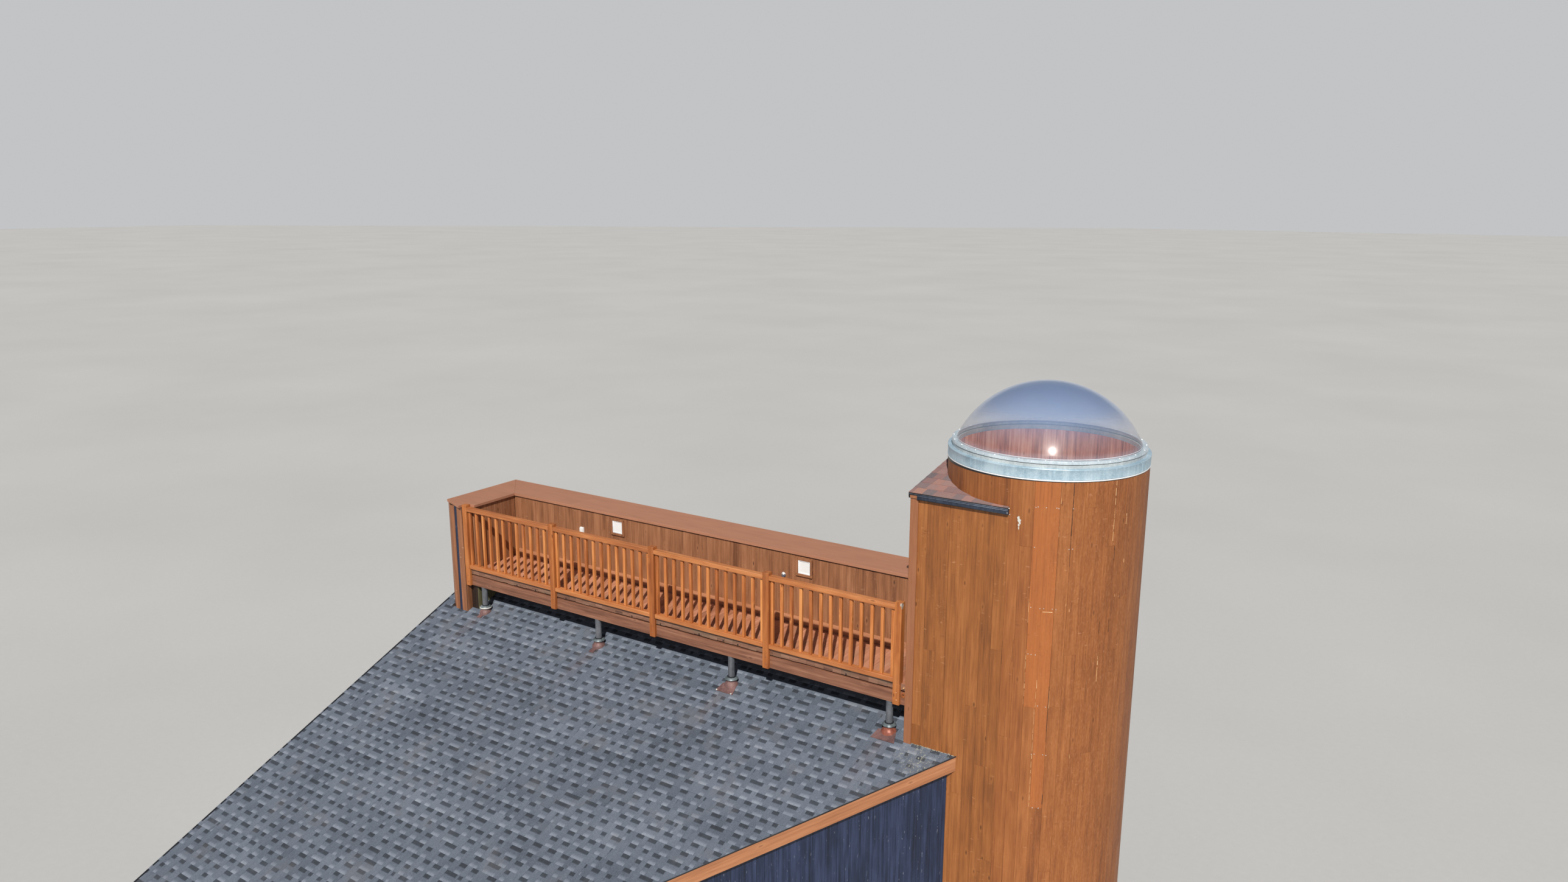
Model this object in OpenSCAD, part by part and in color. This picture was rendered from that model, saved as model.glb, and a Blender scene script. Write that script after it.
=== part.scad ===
// Round board-clad stair tower with a clear dome, a squared-off entry corner,
// and the shed-roofed wing beside it that carries a railed roof deck.
// Millimetres, +Z up. The origin is on the tower's axis at ground level,
// +X runs along the deck past the tower, and +Y runs from the deck's rail
// to its high parapet.

/* [Levels] */
// Height of the deck floor's top above the ground
deck_top = 8470; // [8200:10:8900]
// Thickness of the ground slabs inside the walls
slab_t = 150; // [100:10:250]
// Height of the rail posts above the deck floor
guard_h = 1008; // [960:1:1150]

/* [Tower] */
// Outer radius of the round wall
tower_r = 1115; // [1050:5:1250]
// Thickness of the tower's walls
tower_wall_t = 110; // [90:5:150]
// Height of the round wall's top above the deck floor
tower_above_deck = 2790; // [2700:10:3200]
// Thickness of the landing floor
landing_t = 200; // [120:10:260]

/* [Entry corner] */
// How far the corner's side wall stands outside the round wall
corner_side_out = 20; // [10:5:60]
// Height of the corner roof's front edge above the deck floor
corner_eave_h = 2350; // [2250:10:2450]
// Rise of the corner roof for each unit towards the back
corner_slope = 0.176; // [0.1:0.002:0.2]
// Thickness of the corner roof
corner_roof_t = 60; // [40:5:100]
// Overhang of the corner roof
corner_overhang = 30; // [10:5:60]
// Width of the corner board
corner_board_w = 100; // [60:5:140]
// Thickness of the corner board
corner_board_t = 19; // [12:1:22]

/* [Door] */
// Width of the doorway
door_w = 720; // [620:10:800]
// Distance from the front wall's inner face to the doorway
door_from_front = 30; // [10:5:80]
// Height of the doorway
door_h = 1980; // [1900:10:2050]
// Thickness of the door leaf
door_t = 44; // [34:2:54]
// Width of the door frame's members
frame_w = 32; // [20:2:45]
// How far the door leaf stands behind the wall's outer face
door_back = 30; // [10:2:50]

/* [Dome and its ring] */
// How far the dome's foot stands outside the wall's inner face
dome_out = 20; // [10:1:30]
// Rise of the clear dome above the clamp ring
dome_rise = 670; // [450:10:900]
// Thickness of the dome's sheet
dome_t = 8; // [5:1:12]
// Height of the metal band round the wall's top
band_h = 131; // [90:1:200]
// Thickness of the metal band
band_t = 6; // [3:1:10]
// Height of the band's top lip, which covers the wall's top
band_lip_h = 15; // [8:1:25]
// Height of the curb that carries the dome
curb_h = 35; // [20:5:80]
// Width of the curb
curb_w = 68; // [60:2:75]
// Height of the clamp ring above the dome's flange
clamp_h = 32; // [20:2:50]
// How far the clamp ring stands past the curb
clamp_lip = 7; // [2:1:20]

/* [Wing] */
// Distance from the railing's closed end to the wing's left wall
end_w = 403; // [360:1:460]
// Distance from the railing's face to the wing's front wall
wing_run = 5365; // [4500:5:6400]
// Thickness of the wing's walls
wing_wall_t = 160; // [120:10:220]
// Angle of the slanted wall that runs from the tower to the front
slant_deg = 47.5; // [40:0.5:55]
// Height of the rim board's underside above the roof, at the rail
roof_gap = 433; // [400:1:500]
// Rise of the roof for each unit towards the back
roof_slope = 0.4167; // [0.36:0.0001:0.46]
// Height of the roof's edge, upright
roof_t = 200; // [150:10:260]
// Overhang of the roof past the left wall
rake_out = 193; // [150:1:260]
// Overhang of the roof past the front wall
eave_out = 185; // [120:5:260]
// Overhang of the roof past the slanted wall
slant_out = 80; // [70:5:120]
// Distance from the tower's axis to the roof's edge, along the tower's flat front wall
roof_end_x = 485; // [400:5:600]
// Thickness of the fascia boards
fascia_t = 32; // [19:1:38]
// Height of the fascia boards
fascia_h = 180; // [140:5:195]

/* [Parapet] */
// Depth of the cap's top below the rail posts' tops
cap_drop = 2; // [0:1:60]
// Thickness of the cap
cap_t = 38; // [25:1:50]
// Width of the cap
cap_w = 608; // [560:4:700]
// How far the cap stands past the walls below it
cap_lip = 30; // [15:1:40]
// Thickness of the parapet's framed walls
parapet_t = 100; // [80:5:140]
// Width of the boxed front end of the parapet
box_w = 251; // [200:1:300]
// Depth of the boxed front end of the parapet
box_d = 200; // [150:10:260]

/* [Deck] */
// Width of the deck, from the railing's face to the parapet's inner face
deck_w = 932; // [880:1:1000]
// Thickness of the deck planks
board_t = 88; // [60:1:95]
// Depth of the deck's joists and its rim board
joist_h = 156; // [140:1:170]
// Thickness of the joists and the rim board
joist_t = 38; // [30:1:50]
// How far the rim board stands behind the posts' front faces
rim_back = 40; // [30:1:50]
// Width of the dark gap between the rim board and the deck planks
rim_gap = 16; // [6:1:24]
// Spacing of the joists
joist_pitch = 610; // [400:5:700]
// Height of the kick board at the foot of the parapet
kick_h = 106; // [80:2:140]
// Thickness of the kick board
kick_t = 20; // [12:1:30]

/* [Railing] */
// Spacing of the posts
bay = 1838; // [1750:1:1900]
// Spacing of the first two posts, at the closed end
first_bay = 1783; // [1700:1:1850]
// Side of the square posts
post_w = 89; // [80:1:100]
// Height of the top and bottom rails
rail_h = 56; // [38:1:70]
// Depth of the top and bottom rails
rail_d = 80; // [60:1:89]
// Side of the square balusters
baluster_w = 38; // [32:1:42]
// Number of balusters in a whole bay
balusters = 13; // [10:1:14]
// Gap between a post and the baluster beside it
baluster_gap = 13; // [6:1:30]
// How far the top rail's top lies below the posts' tops
rail_below_post = 38; // [10:1:50]
// Height of the bottom rail's underside above the deck
rail_clear = 10; // [8:1:60]
// How far the balusters stand behind the rails' front faces
baluster_back = 24; // [10:1:30]
// How far the posts reach below the rim board
post_tail = 3; // [2:1:30]

/* [Pipe posts] */
// Outer radius of the pipe posts
pipe_r = 44; // [35:1:50]
// Distance from the tower's side wall to the nearest pipe post
pipe_inset = 255; // [200:5:320]
// Distance from the railing's closed end to the nearest pipe post
pipe_end_inset = 305; // [250:5:360]
// Radius of the flashing's cone at its foot
flashing_r = 105; // [80:5:130]
// Height of the flashing's cone
flashing_h = 120; // [80:5:150]
// Side of the flashing's square base plate
flashing_plate = 330; // [260:10:380]
// Thickness of the flashing's base plate
flashing_t = 4; // [2:1:8]
// Gap between the flashing's collar and the pipe's face
collar_t = 6; // [4:1:12]

/* [Fittings] */
// Side of the square wall lights' frames
light_w = 250; // [200:10:300]
// Thickness of the lights
light_t = 30; // [20:2:60]
// Height of the lights' middles above the deck floor
light_z = 808; // [700:2:850]
// Distance from the tower's side wall to the nearer light
light_first = 1973; // [1000:1:2500]
// Distance between the lights
light_pitch = 3223; // [2000:1:4000]
// Side of the small outlet box
outlet_w = 90; // [70:5:120]
// Distance from the tower's side wall to the outlet box
outlet_from = 5915; // [5700:5:6500]
// How far the small fittings stand out of the wall
fitting_out = 45; // [20:5:80]
// Radius of the small round fitting
fitting_r = 32; // [20:2:45]
// Distance from the tower's side wall to the round fitting
fitting_from = 2301; // [2250:1:3500]
// Height of the small fittings above the deck floor
fitting_z = 648; // [500:2:700]

/* [Hidden] */
$fn = 180;

// Gap left between faces that would otherwise coincide
fit = 0.3;
// A length that is sure to pass through anything it cuts
far = 30000;
// How far a cut, or a piece that is joined to another, runs past the face
past = 1;

// Levels
post_top = deck_top + guard_h;
wall_top = deck_top + tower_above_deck;
tower_in = tower_r - tower_wall_t;
cap_top = post_top - cap_drop;
cap_low = cap_top - cap_t;

// The plane of the rail, which the tower's flat front wall shares
front_y = -tower_r;
// Outer face of the corner's side wall
side_x = -tower_r - corner_side_out;

// The corner roof's top and underside at a distance y
function corner_top(y) = deck_top + corner_eave_h + corner_slope * (y - front_y);
function corner_low(y) = corner_top(y) - corner_roof_t;
corner_wall_top = corner_low(front_y);

// The doorway, in the corner's side wall
door_y0 = front_y + tower_wall_t + door_from_front;
door_y1 = door_y0 + door_w;

// Railing plan: the last post stands just clear of the corner's side wall
post_gap = 93;
bays = 4;
last_post_x = side_x - post_gap - post_w;
function post_x(i) = last_post_x - (i == 0 ? (bays - 1) * bay + first_bay : (bays - i) * bay);
baluster_pitch = (bay - post_w - 2 * baluster_gap - baluster_w) / (balusters - 1);
box_x = post_x(0);
rim_y = front_y + rim_back;
rim_top = deck_top - board_t - rim_gap;
rim_low = rim_top - joist_h;

// The wing roof's top and underside at a distance y
function roof_top(y) = rim_low - roof_gap + roof_slope * (y - front_y);
function roof_low(y) = roof_top(y) - roof_t;
roof_deg = atan(roof_slope);

// Parapet and wing plan
left_x = box_x - end_w;
cap_x = left_x - cap_lip;
parapet_in_x = cap_x + cap_w - cap_lip;
parapet_in_y = front_y + deck_w;
cap_y = parapet_in_y + cap_w - cap_lip;
back_y = cap_y - cap_lip;
back_in_y = back_y - wing_wall_t;
wing_front_y = front_y - wing_run;
rake_x = left_x - rake_out;
eave_y = wing_front_y - eave_out;
slant_run = 1 / tan(slant_deg);
function slant_x(y, back = 0) = -roof_end_x + (y - front_y) * slant_run - back / sin(slant_deg);
// The deck stops at the corner board
deck_end_x = side_x - corner_board_t - fit;

// Dome
dome_r = tower_in + dome_out;
clamp_r = tower_in + curb_w + clamp_lip;
flange_z = wall_top + band_lip_h + curb_h;
flange_t = 8;
dome_foot_z = flange_z + flange_t + clamp_h;
dome_ball_r = (dome_r * dome_r + dome_rise * dome_rise) / (2 * dome_rise);

// A prism whose outline is given across the building, as y and z, from x0 to x1
module across(x0, x1, outline) {
    translate([x0, 0, 0]) rotate([90, 0, 90]) linear_extrude(height = x1 - x0) polygon(outline);
}

// A box from its low corner to its high corner
module block(a, b) {
    translate(a) cube([b[0] - a[0], b[1] - a[1], b[2] - a[2]]);
}

// The space over the wing roof's top
module over_roof(lift = 0) {
    across(-far, far, [
        [-far, roof_top(-far) + lift], [far, roof_top(far) + lift], [far, far], [-far, far]
    ]);
}

// The space under the wing roof's underside
module under_roof() {
    across(-far, far, [[-far, -far], [far, -far], [far, roof_low(far)], [-far, roof_low(-far)]]);
}

// A sector of the tower's round wall between two angles and two heights
module round_wall(a0, a1, z0, z1) {
    translate([0, 0, z0]) rotate([0, 0, a0])
        rotate_extrude(angle = a1 - a0) translate([tower_in, 0]) square([tower_wall_t, z1 - z0]);
}

// The part of a corner wall that follows the corner roof's slope, outside the round wall
module wall_under_slope(x0, x1, y0, y1) {
    difference() {
        across(x0, x1, [
            [y0, corner_wall_top - past], [y1, corner_wall_top - past], [y1, corner_low(y1)],
            [y0, corner_low(y0)]
        ]);
        cylinder(r = tower_r + fit, h = far);
    }
}

// The inside of the tower's plan: the round part and the squared corner
module tower_room(in) {
    circle(r = tower_in - in);
    translate([side_x + tower_wall_t + in, front_y + tower_wall_t + in])
        square([-side_x - tower_wall_t - in, -front_y - tower_wall_t - in]);
}

module tower_floor_slab() color("darkgray") linear_extrude(height = slab_t) tower_room(fit);

module tower_wall_front() color("sienna") round_wall(-90, -45, 0, wall_top);
module tower_wall_front_right() color("sienna") round_wall(-45, 0, 0, wall_top);
module tower_wall_right() color("sienna") round_wall(0, 45, 0, wall_top);
module tower_wall_back_right() color("sienna") round_wall(45, 90, 0, wall_top);
module tower_wall_back() color("sienna") round_wall(90, 135, 0, wall_top);
module tower_wall_back_left() color("sienna") round_wall(135, 180, 0, wall_top);
module tower_wall_over_corner() color("sienna") round_wall(180, 270, corner_wall_top, wall_top);

module landing_floor() color("tan")
    translate([0, 0, deck_top - landing_t]) linear_extrude(height = landing_t) tower_room(fit);

module corner_front_wall() color("sienna") {
    block([side_x, front_y, 0], [0, front_y + tower_wall_t, corner_wall_top]);
    wall_under_slope(side_x, 0, front_y, front_y + tower_wall_t);
}

module corner_side_wall() color("sienna") difference() {
    union() {
        block([side_x, front_y + tower_wall_t, 0], [side_x + tower_wall_t, 0, corner_wall_top]);
        wall_under_slope(side_x, side_x + tower_wall_t, front_y + tower_wall_t, 0);
    }
    block([side_x - past, door_y0, deck_top],
          [side_x + tower_wall_t + past, door_y1, deck_top + door_h]);
}

module corner_roof() color("rosybrown") difference() {
    across(side_x - corner_overhang, 0, [
        [front_y - corner_overhang, corner_low(front_y - corner_overhang)],
        [0, corner_low(0)], [0, corner_top(0)],
        [front_y - corner_overhang, corner_top(front_y - corner_overhang)]
    ]);
    cylinder(r = tower_r + fit, h = far);
}

// The pair of upright boards that cover the corner's edge
module corner_board() color("rosybrown") intersection() {
    union() {
        block([side_x - corner_board_t, front_y - corner_board_t, 0],
              [side_x + corner_board_w, front_y, corner_low(front_y - corner_board_t)]);
        block([side_x - corner_board_t, front_y - corner_board_t, 0],
              [side_x, front_y + corner_board_w, corner_low(front_y - corner_board_t)]);
    }
    over_roof();
}

module door_frame() color("saddlebrown") difference() {
    block([side_x, door_y0, deck_top], [side_x + tower_wall_t, door_y1, deck_top + door_h]);
    block([side_x - past, door_y0 + frame_w, deck_top + frame_w],
          [side_x + tower_wall_t + past, door_y1 - frame_w, deck_top + door_h - frame_w]);
}

module door_leaf() color("saddlebrown") {
    leaf_x = side_x + door_back;
    block([leaf_x, door_y0 + frame_w, deck_top + frame_w],
          [leaf_x + door_t, door_y1 - frame_w, deck_top + door_h - frame_w]);
}

module metal_band() color("silver") translate([0, 0, wall_top]) rotate_extrude() {
    translate([tower_in, 0]) square([tower_wall_t + fit + band_t, band_lip_h]);
    translate([tower_r + fit, band_lip_h - band_h]) square([band_t, band_h]);
}

module dome_curb() color("tan") translate([0, 0, wall_top + band_lip_h])
    rotate_extrude() translate([tower_in, 0]) square([curb_w, curb_h]);

module clear_dome() color([0.75, 0.82, 0.88, 0.4]) union() {
    translate([0, 0, flange_z]) rotate_extrude() {
        translate([dome_r - dome_t, 0]) square([tower_in + curb_w - dome_r + dome_t, flange_t]);
        translate([dome_r - dome_t, 0]) square([dome_t, flange_t + clamp_h]);
    }
    translate([0, 0, dome_foot_z]) rotate_extrude() intersection() {
        translate([0, dome_rise - dome_ball_r]) difference() {
            circle(r = dome_ball_r);
            circle(r = dome_ball_r - dome_t);
        }
        square([dome_r, dome_rise]);
    }
}

module clamp_ring() color("lightsteelblue") translate([0, 0, flange_z + flange_t])
    rotate_extrude() translate([dome_r + fit, 0]) square([clamp_r - dome_r - fit, clamp_h]);

module wing_floor_slab() color("darkgray") linear_extrude(height = slab_t) {
    y0 = wing_front_y + wing_wall_t;
    inner = slant_out + wing_wall_t;
    polygon([
        [left_x + wing_wall_t, y0], [slant_x(y0, inner), y0], [slant_x(front_y, inner), front_y],
        [side_x, front_y], [side_x, back_in_y], [left_x + wing_wall_t, back_in_y]
    ]);
}

module wing_back_wall() color("midnightblue") difference() {
    block([left_x, back_in_y, 0], [0, back_y, cap_low]);
    translate([0, 0, -past]) cylinder(r = tower_r + fit, h = far);
}

module wing_left_wall() color("midnightblue")
    across(left_x, left_x + wing_wall_t, [
        [wing_front_y, 0], [back_in_y, 0], [back_in_y, roof_low(back_in_y) - fit],
        [wing_front_y, roof_low(wing_front_y) - fit]
    ]);

module wing_front_wall() color("midnightblue") intersection() {
    y1 = wing_front_y + wing_wall_t;
    linear_extrude(height = far) polygon([
        [left_x + wing_wall_t, wing_front_y], [slant_x(wing_front_y, slant_out), wing_front_y],
        [slant_x(y1, slant_out), y1], [left_x + wing_wall_t, y1]
    ]);
    under_roof();
}

module wing_slanted_wall() color("midnightblue") intersection() {
    y0 = wing_front_y + wing_wall_t;
    linear_extrude(height = far) polygon([
        [slant_x(y0, slant_out), y0], [slant_x(front_y, slant_out), front_y],
        [slant_x(front_y, slant_out + wing_wall_t), front_y],
        [slant_x(y0, slant_out + wing_wall_t), y0]
    ]);
    under_roof();
}

module wing_roof() color("slategray") intersection() {
    linear_extrude(height = far) polygon([
        [rake_x + fascia_t, eave_y + fascia_t],
        [slant_x(eave_y + fascia_t, fascia_t), eave_y + fascia_t],
        [slant_x(front_y, fascia_t), front_y], [side_x, front_y], [side_x, back_in_y],
        [left_x, back_in_y], [left_x, back_y], [rake_x + fascia_t, back_y]
    ]);
    across(-far, far, [
        [-far, roof_low(-far)], [far, roof_low(far)], [far, roof_top(far)], [-far, roof_top(-far)]
    ]);
}

// Fascia boards fixed to the roof's edges, with a fine joint at each corner
module fascia_boards() color("chocolate") intersection() {
    joint = 1;
    linear_extrude(height = far) {
        polygon([
            [slant_x(eave_y), eave_y], [slant_x(front_y), front_y],
            [slant_x(front_y, fascia_t), front_y], [slant_x(eave_y, fascia_t), eave_y]
        ]);
        translate([rake_x + fascia_t + joint, eave_y])
            square([slant_x(eave_y, fascia_t) - rake_x - fascia_t - 2 * joint, fascia_t]);
        translate([rake_x, eave_y]) square([fascia_t, back_y - eave_y]);
    }
    across(-far, far, [
        [-far, roof_top(-far) - fascia_h], [far, roof_top(far) - fascia_h],
        [far, roof_top(far)], [-far, roof_top(-far)]
    ]);
}

module parapet_inner_wall() color("saddlebrown") intersection() {
    block([parapet_in_x, parapet_in_y, 0], [side_x, parapet_in_y + parapet_t, cap_low]);
    over_roof();
}

module parapet_end_inner() color("saddlebrown") intersection() {
    block([box_x, front_y + post_w, 0], [parapet_in_x, back_in_y, cap_low]);
    over_roof();
}

module parapet_end_outer() color("midnightblue") intersection() {
    block([left_x, front_y + box_d, 0], [left_x + parapet_t, back_in_y, cap_low]);
    over_roof();
}

// The boxed front end, with its outer corner drawn back under the cap's slanting edge
module parapet_end_box() color("chocolate") intersection() {
    linear_extrude(height = cap_low) polygon([
        [box_x, front_y], [box_x - box_w, front_y], [left_x, front_y + box_d / 2],
        [left_x, front_y + box_d], [box_x, front_y + box_d]
    ]);
    over_roof();
}

module parapet_cap_back() color("rosybrown") difference() {
    translate([0, 0, cap_low]) linear_extrude(height = cap_t) polygon([
        [cap_x, cap_y], [cap_x + cap_w, cap_y - cap_w], [side_x, cap_y - cap_w], [side_x, 0],
        [-tower_in, 0], [-tower_in, cap_y]
    ]);
    cylinder(r = tower_r + fit, h = far);
}

module parapet_cap_end() color("rosybrown") translate([0, 0, cap_low])
    linear_extrude(height = cap_t) polygon([
        [cap_x, cap_y], [cap_x + cap_w, cap_y - cap_w], [cap_x + cap_w, front_y + post_w + fit],
        [box_x - fit, front_y + post_w + fit], [box_x - fit, front_y - 2 * cap_lip],
        [cap_x, front_y + box_d / 2 - 2 * cap_lip]
    ]);

module deck_floor() color("rosybrown") {
    block([parapet_in_x, rim_y, deck_top - board_t], [deck_end_x, parapet_in_y, deck_top]);
    block([box_x, rim_y, deck_top - board_t], [parapet_in_x, front_y + post_w, deck_top]);
}

module rim_board() color("saddlebrown")
    block([box_x, rim_y, rim_low], [deck_end_x, rim_y + joist_t, rim_top]);

module deck_joists() color("peru")
    for (x = [parapet_in_x : joist_pitch : side_x - joist_t])
        block([x, rim_y + joist_t, deck_top - board_t - joist_h],
              [x + joist_t, parapet_in_y, deck_top - board_t]);

module kick_board() color("rosybrown")
    block([parapet_in_x, parapet_in_y - kick_t, deck_top], [side_x, parapet_in_y, deck_top + kick_h]);

// Pipe posts stand under the rim board, evenly spaced
pipes = 4;
function pipe_x(i) =
    side_x - pipe_inset - i * (side_x - box_x - pipe_inset - pipe_end_inset) / (pipes - 1);
pipe_y = rim_y + pipe_r;

module pipe_posts() color("darkslategray") intersection() {
    for (i = [0 : pipes - 1]) translate([pipe_x(i), pipe_y, 0]) cylinder(r = pipe_r, h = rim_low);
    over_roof();
}

// A cone on a plate that lies on the roof. The cone starts low enough to meet the slope all round.
module pipe_flashings() color("indianred") for (i = [0 : pipes - 1]) difference() {
    sunk = 2 * roof_slope * flashing_r;
    intersection() {
        translate([pipe_x(i), pipe_y, roof_top(pipe_y)]) union() {
            rotate([roof_deg, 0, 0]) translate([-flashing_plate / 2, -flashing_plate / 2, 0])
                cube([flashing_plate, flashing_plate, flashing_t]);
            translate([0, 0, -sunk])
                cylinder(r1 = flashing_r, r2 = pipe_r + collar_t, h = flashing_h + sunk);
        }
        over_roof();
    }
    translate([pipe_x(i), pipe_y, 0]) cylinder(r = pipe_r + fit, h = far);
}

// Posts stand on the deck, with a lower part notched over the rim board
module rail_posts() color("chocolate") for (i = [0 : bays]) {
    block([post_x(i), front_y, deck_top], [post_x(i) + post_w, front_y + post_w, post_top]);
    block([post_x(i), front_y, rim_low - post_tail], [post_x(i) + post_w, rim_y, deck_top]);
}

// A panel of railing. Its balusters are set out from the left post.
module rail_panel(i) color("chocolate") {
    x0 = post_x(i - 1) + post_w;
    x1 = post_x(i);
    y0 = front_y + (post_w - rail_d) / 2;
    y1 = y0 + rail_d;
    z1 = post_top - rail_below_post;
    z0 = deck_top + rail_clear;
    run = x1 - x0 - baluster_gap - baluster_w;
    block([x0, y0, z1 - rail_h], [x1, y1, z1]);
    block([x0, y0, z0], [x1, y1, z0 + rail_h]);
    for (k = [0 : floor(run / baluster_pitch)]) {
        bx = x0 + baluster_gap + k * baluster_pitch;
        block([bx, y0 + baluster_back, z0 + rail_h],
              [bx + baluster_w, y0 + baluster_back + baluster_w, z1 - rail_h]);
    }
}

module rail_panel_1() rail_panel(1);
module rail_panel_2() rail_panel(2);
module rail_panel_3() rail_panel(3);
module rail_panel_4() rail_panel(4);

module wall_lights() color("white") for (i = [0 : 1]) {
    x = side_x - light_first - i * light_pitch;
    block([x - light_w / 2, parapet_in_y - light_t, deck_top + light_z - light_w / 2],
          [x + light_w / 2, parapet_in_y, deck_top + light_z + light_w / 2]);
}

module outlet_and_fitting() color("white") {
    x = side_x - outlet_from;
    block([x - outlet_w / 2, parapet_in_y - fitting_out, deck_top + fitting_z - outlet_w / 2],
          [x + outlet_w / 2, parapet_in_y, deck_top + fitting_z + outlet_w / 2]);
    translate([side_x - fitting_from, parapet_in_y, deck_top + fitting_z]) rotate([90, 0, 0])
        cylinder(r = fitting_r, h = fitting_out);
}

tower_floor_slab();
tower_wall_front();
tower_wall_front_right();
tower_wall_right();
tower_wall_back_right();
tower_wall_back();
tower_wall_back_left();
tower_wall_over_corner();
landing_floor();
corner_front_wall();
corner_side_wall();
corner_roof();
corner_board();
door_frame();
door_leaf();
metal_band();
dome_curb();
clear_dome();
clamp_ring();
wing_floor_slab();
wing_back_wall();
wing_left_wall();
wing_front_wall();
wing_slanted_wall();
wing_roof();
fascia_boards();
parapet_inner_wall();
parapet_end_outer();
parapet_end_inner();
parapet_end_box();
parapet_cap_back();
parapet_cap_end();
deck_floor();
rim_board();
deck_joists();
kick_board();
pipe_posts();
pipe_flashings();
rail_posts();
rail_panel_1();
rail_panel_2();
rail_panel_3();
rail_panel_4();
wall_lights();
outlet_and_fitting();
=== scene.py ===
"""Looks of a domed stair tower with a roof deck. Metres, +Z up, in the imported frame."""
import logging
import math
import random
from collections.abc import Callable
from dataclasses import dataclass, field, replace
from enum import Enum

import bmesh
import bpy
from mathutils import Matrix, Vector


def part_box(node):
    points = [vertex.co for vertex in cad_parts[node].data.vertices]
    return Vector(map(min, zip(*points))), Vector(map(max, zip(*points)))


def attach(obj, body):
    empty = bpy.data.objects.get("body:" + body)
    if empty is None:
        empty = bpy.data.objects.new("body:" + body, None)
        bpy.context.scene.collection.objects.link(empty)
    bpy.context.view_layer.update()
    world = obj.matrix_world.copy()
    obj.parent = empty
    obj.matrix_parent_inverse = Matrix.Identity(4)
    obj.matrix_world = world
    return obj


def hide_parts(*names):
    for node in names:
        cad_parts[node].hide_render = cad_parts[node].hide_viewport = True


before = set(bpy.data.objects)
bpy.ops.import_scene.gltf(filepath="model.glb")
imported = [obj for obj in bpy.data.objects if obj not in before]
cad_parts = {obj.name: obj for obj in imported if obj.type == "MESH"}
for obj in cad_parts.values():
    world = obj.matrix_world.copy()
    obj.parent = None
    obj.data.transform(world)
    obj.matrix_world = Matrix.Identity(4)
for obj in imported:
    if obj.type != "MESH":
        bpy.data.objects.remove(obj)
LOG = logging.getLogger("stair_tower")

Point = tuple[float, float, float]
Colour = tuple[float, float, float]
Tone = tuple[float, float, float]
Height = float | Callable[[float], float]
Socket = bpy.types.NodeSocket
Material = bpy.types.Material


def height_at(height: Height, y: float) -> float:
    """Gives a height that is either fixed or follows from Y."""
    return height(y) if callable(height) else height


def into_scene(name: str, data: bpy.types.ID) -> bpy.types.Object:
    """Makes an object and links it to the scene.

    Args:
        name: Its name.
        data: Its mesh, light or camera.

    Returns:
        The object.
    """
    made = bpy.data.objects.new(name, data)
    bpy.context.scene.collection.objects.link(made)
    return made


@dataclass(frozen=True)
class Plan:
    """The building's sizes, as in the part's source."""

    deck_top: float = 8.470
    front_y: float = -1.115
    side_x: float = -1.135
    radius: float = 1.115
    inner: float = 1.005
    wall_top: float = 11.260
    corner_top: float = 10.820
    corner_slope: float = 0.176
    corner_roof: float = 0.060
    roof_at_front: float = 7.777
    roof_slope: float = 0.4167
    rake_x: float = -9.210
    eave_y: float = -6.665
    left_x: float = -9.017
    back_y: float = 0.365
    wing_front_y: float = -6.480
    roof_end_x: float = -0.485
    slant: float = math.radians(47.5)
    cap_low: float = 9.438
    cap_top: float = 9.476
    parapet_x: float = -8.469
    parapet_y: float = -0.183
    box_x: float = -8.614
    rim_y: float = -1.075
    rim_low: float = 8.210
    plank_low: float = 8.382
    post_top: float = 9.478
    post: float = 0.089
    posts: tuple = (-8.614, -6.831, -4.993, -3.155, -1.317)
    pipes: tuple = (-1.390, -3.6963, -6.0027, -8.309)
    pipe_y: float = -1.031

    def roof(self, y: float) -> float:
        """Gives the wing roof's height at a distance y."""
        return self.roof_at_front + self.roof_slope * (y - self.front_y)

    def corner(self, y: float) -> float:
        """Gives the corner roof's height at a distance y."""
        return self.corner_top + self.corner_slope * (y - self.front_y)

    def edge(self, y: float, back: float = 0.0) -> float:
        """Gives the slanted roof edge's place along X, or a line set back from it."""
        return (self.roof_end_x + (y - self.front_y) / math.tan(self.slant)
                - back / math.sin(self.slant))

    def on_round(self, degrees: float, radius: float, z: float) -> Point:
        """Gives a point of the round wall."""
        turn = math.radians(degrees)
        return (radius * math.cos(turn), radius * math.sin(turn), z)

    def on_slope(self, place: Point, eave: tuple, slope: float) -> Point:
        """Gives a point of a sloping roof.

        Args:
            place: Its place along X, up the slope from the eave, and above the roof.
            eave: The eave's place along Y and its height.
            slope: The roof's rise for each metre.

        Returns:
            The point.
        """
        x, s, h = place
        cos, sin = math.cos(math.atan(slope)), math.sin(math.atan(slope))
        return (x, eave[0] + s * cos - h * sin, eave[1] + s * sin + h * cos)


PLAN = Plan()


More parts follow.
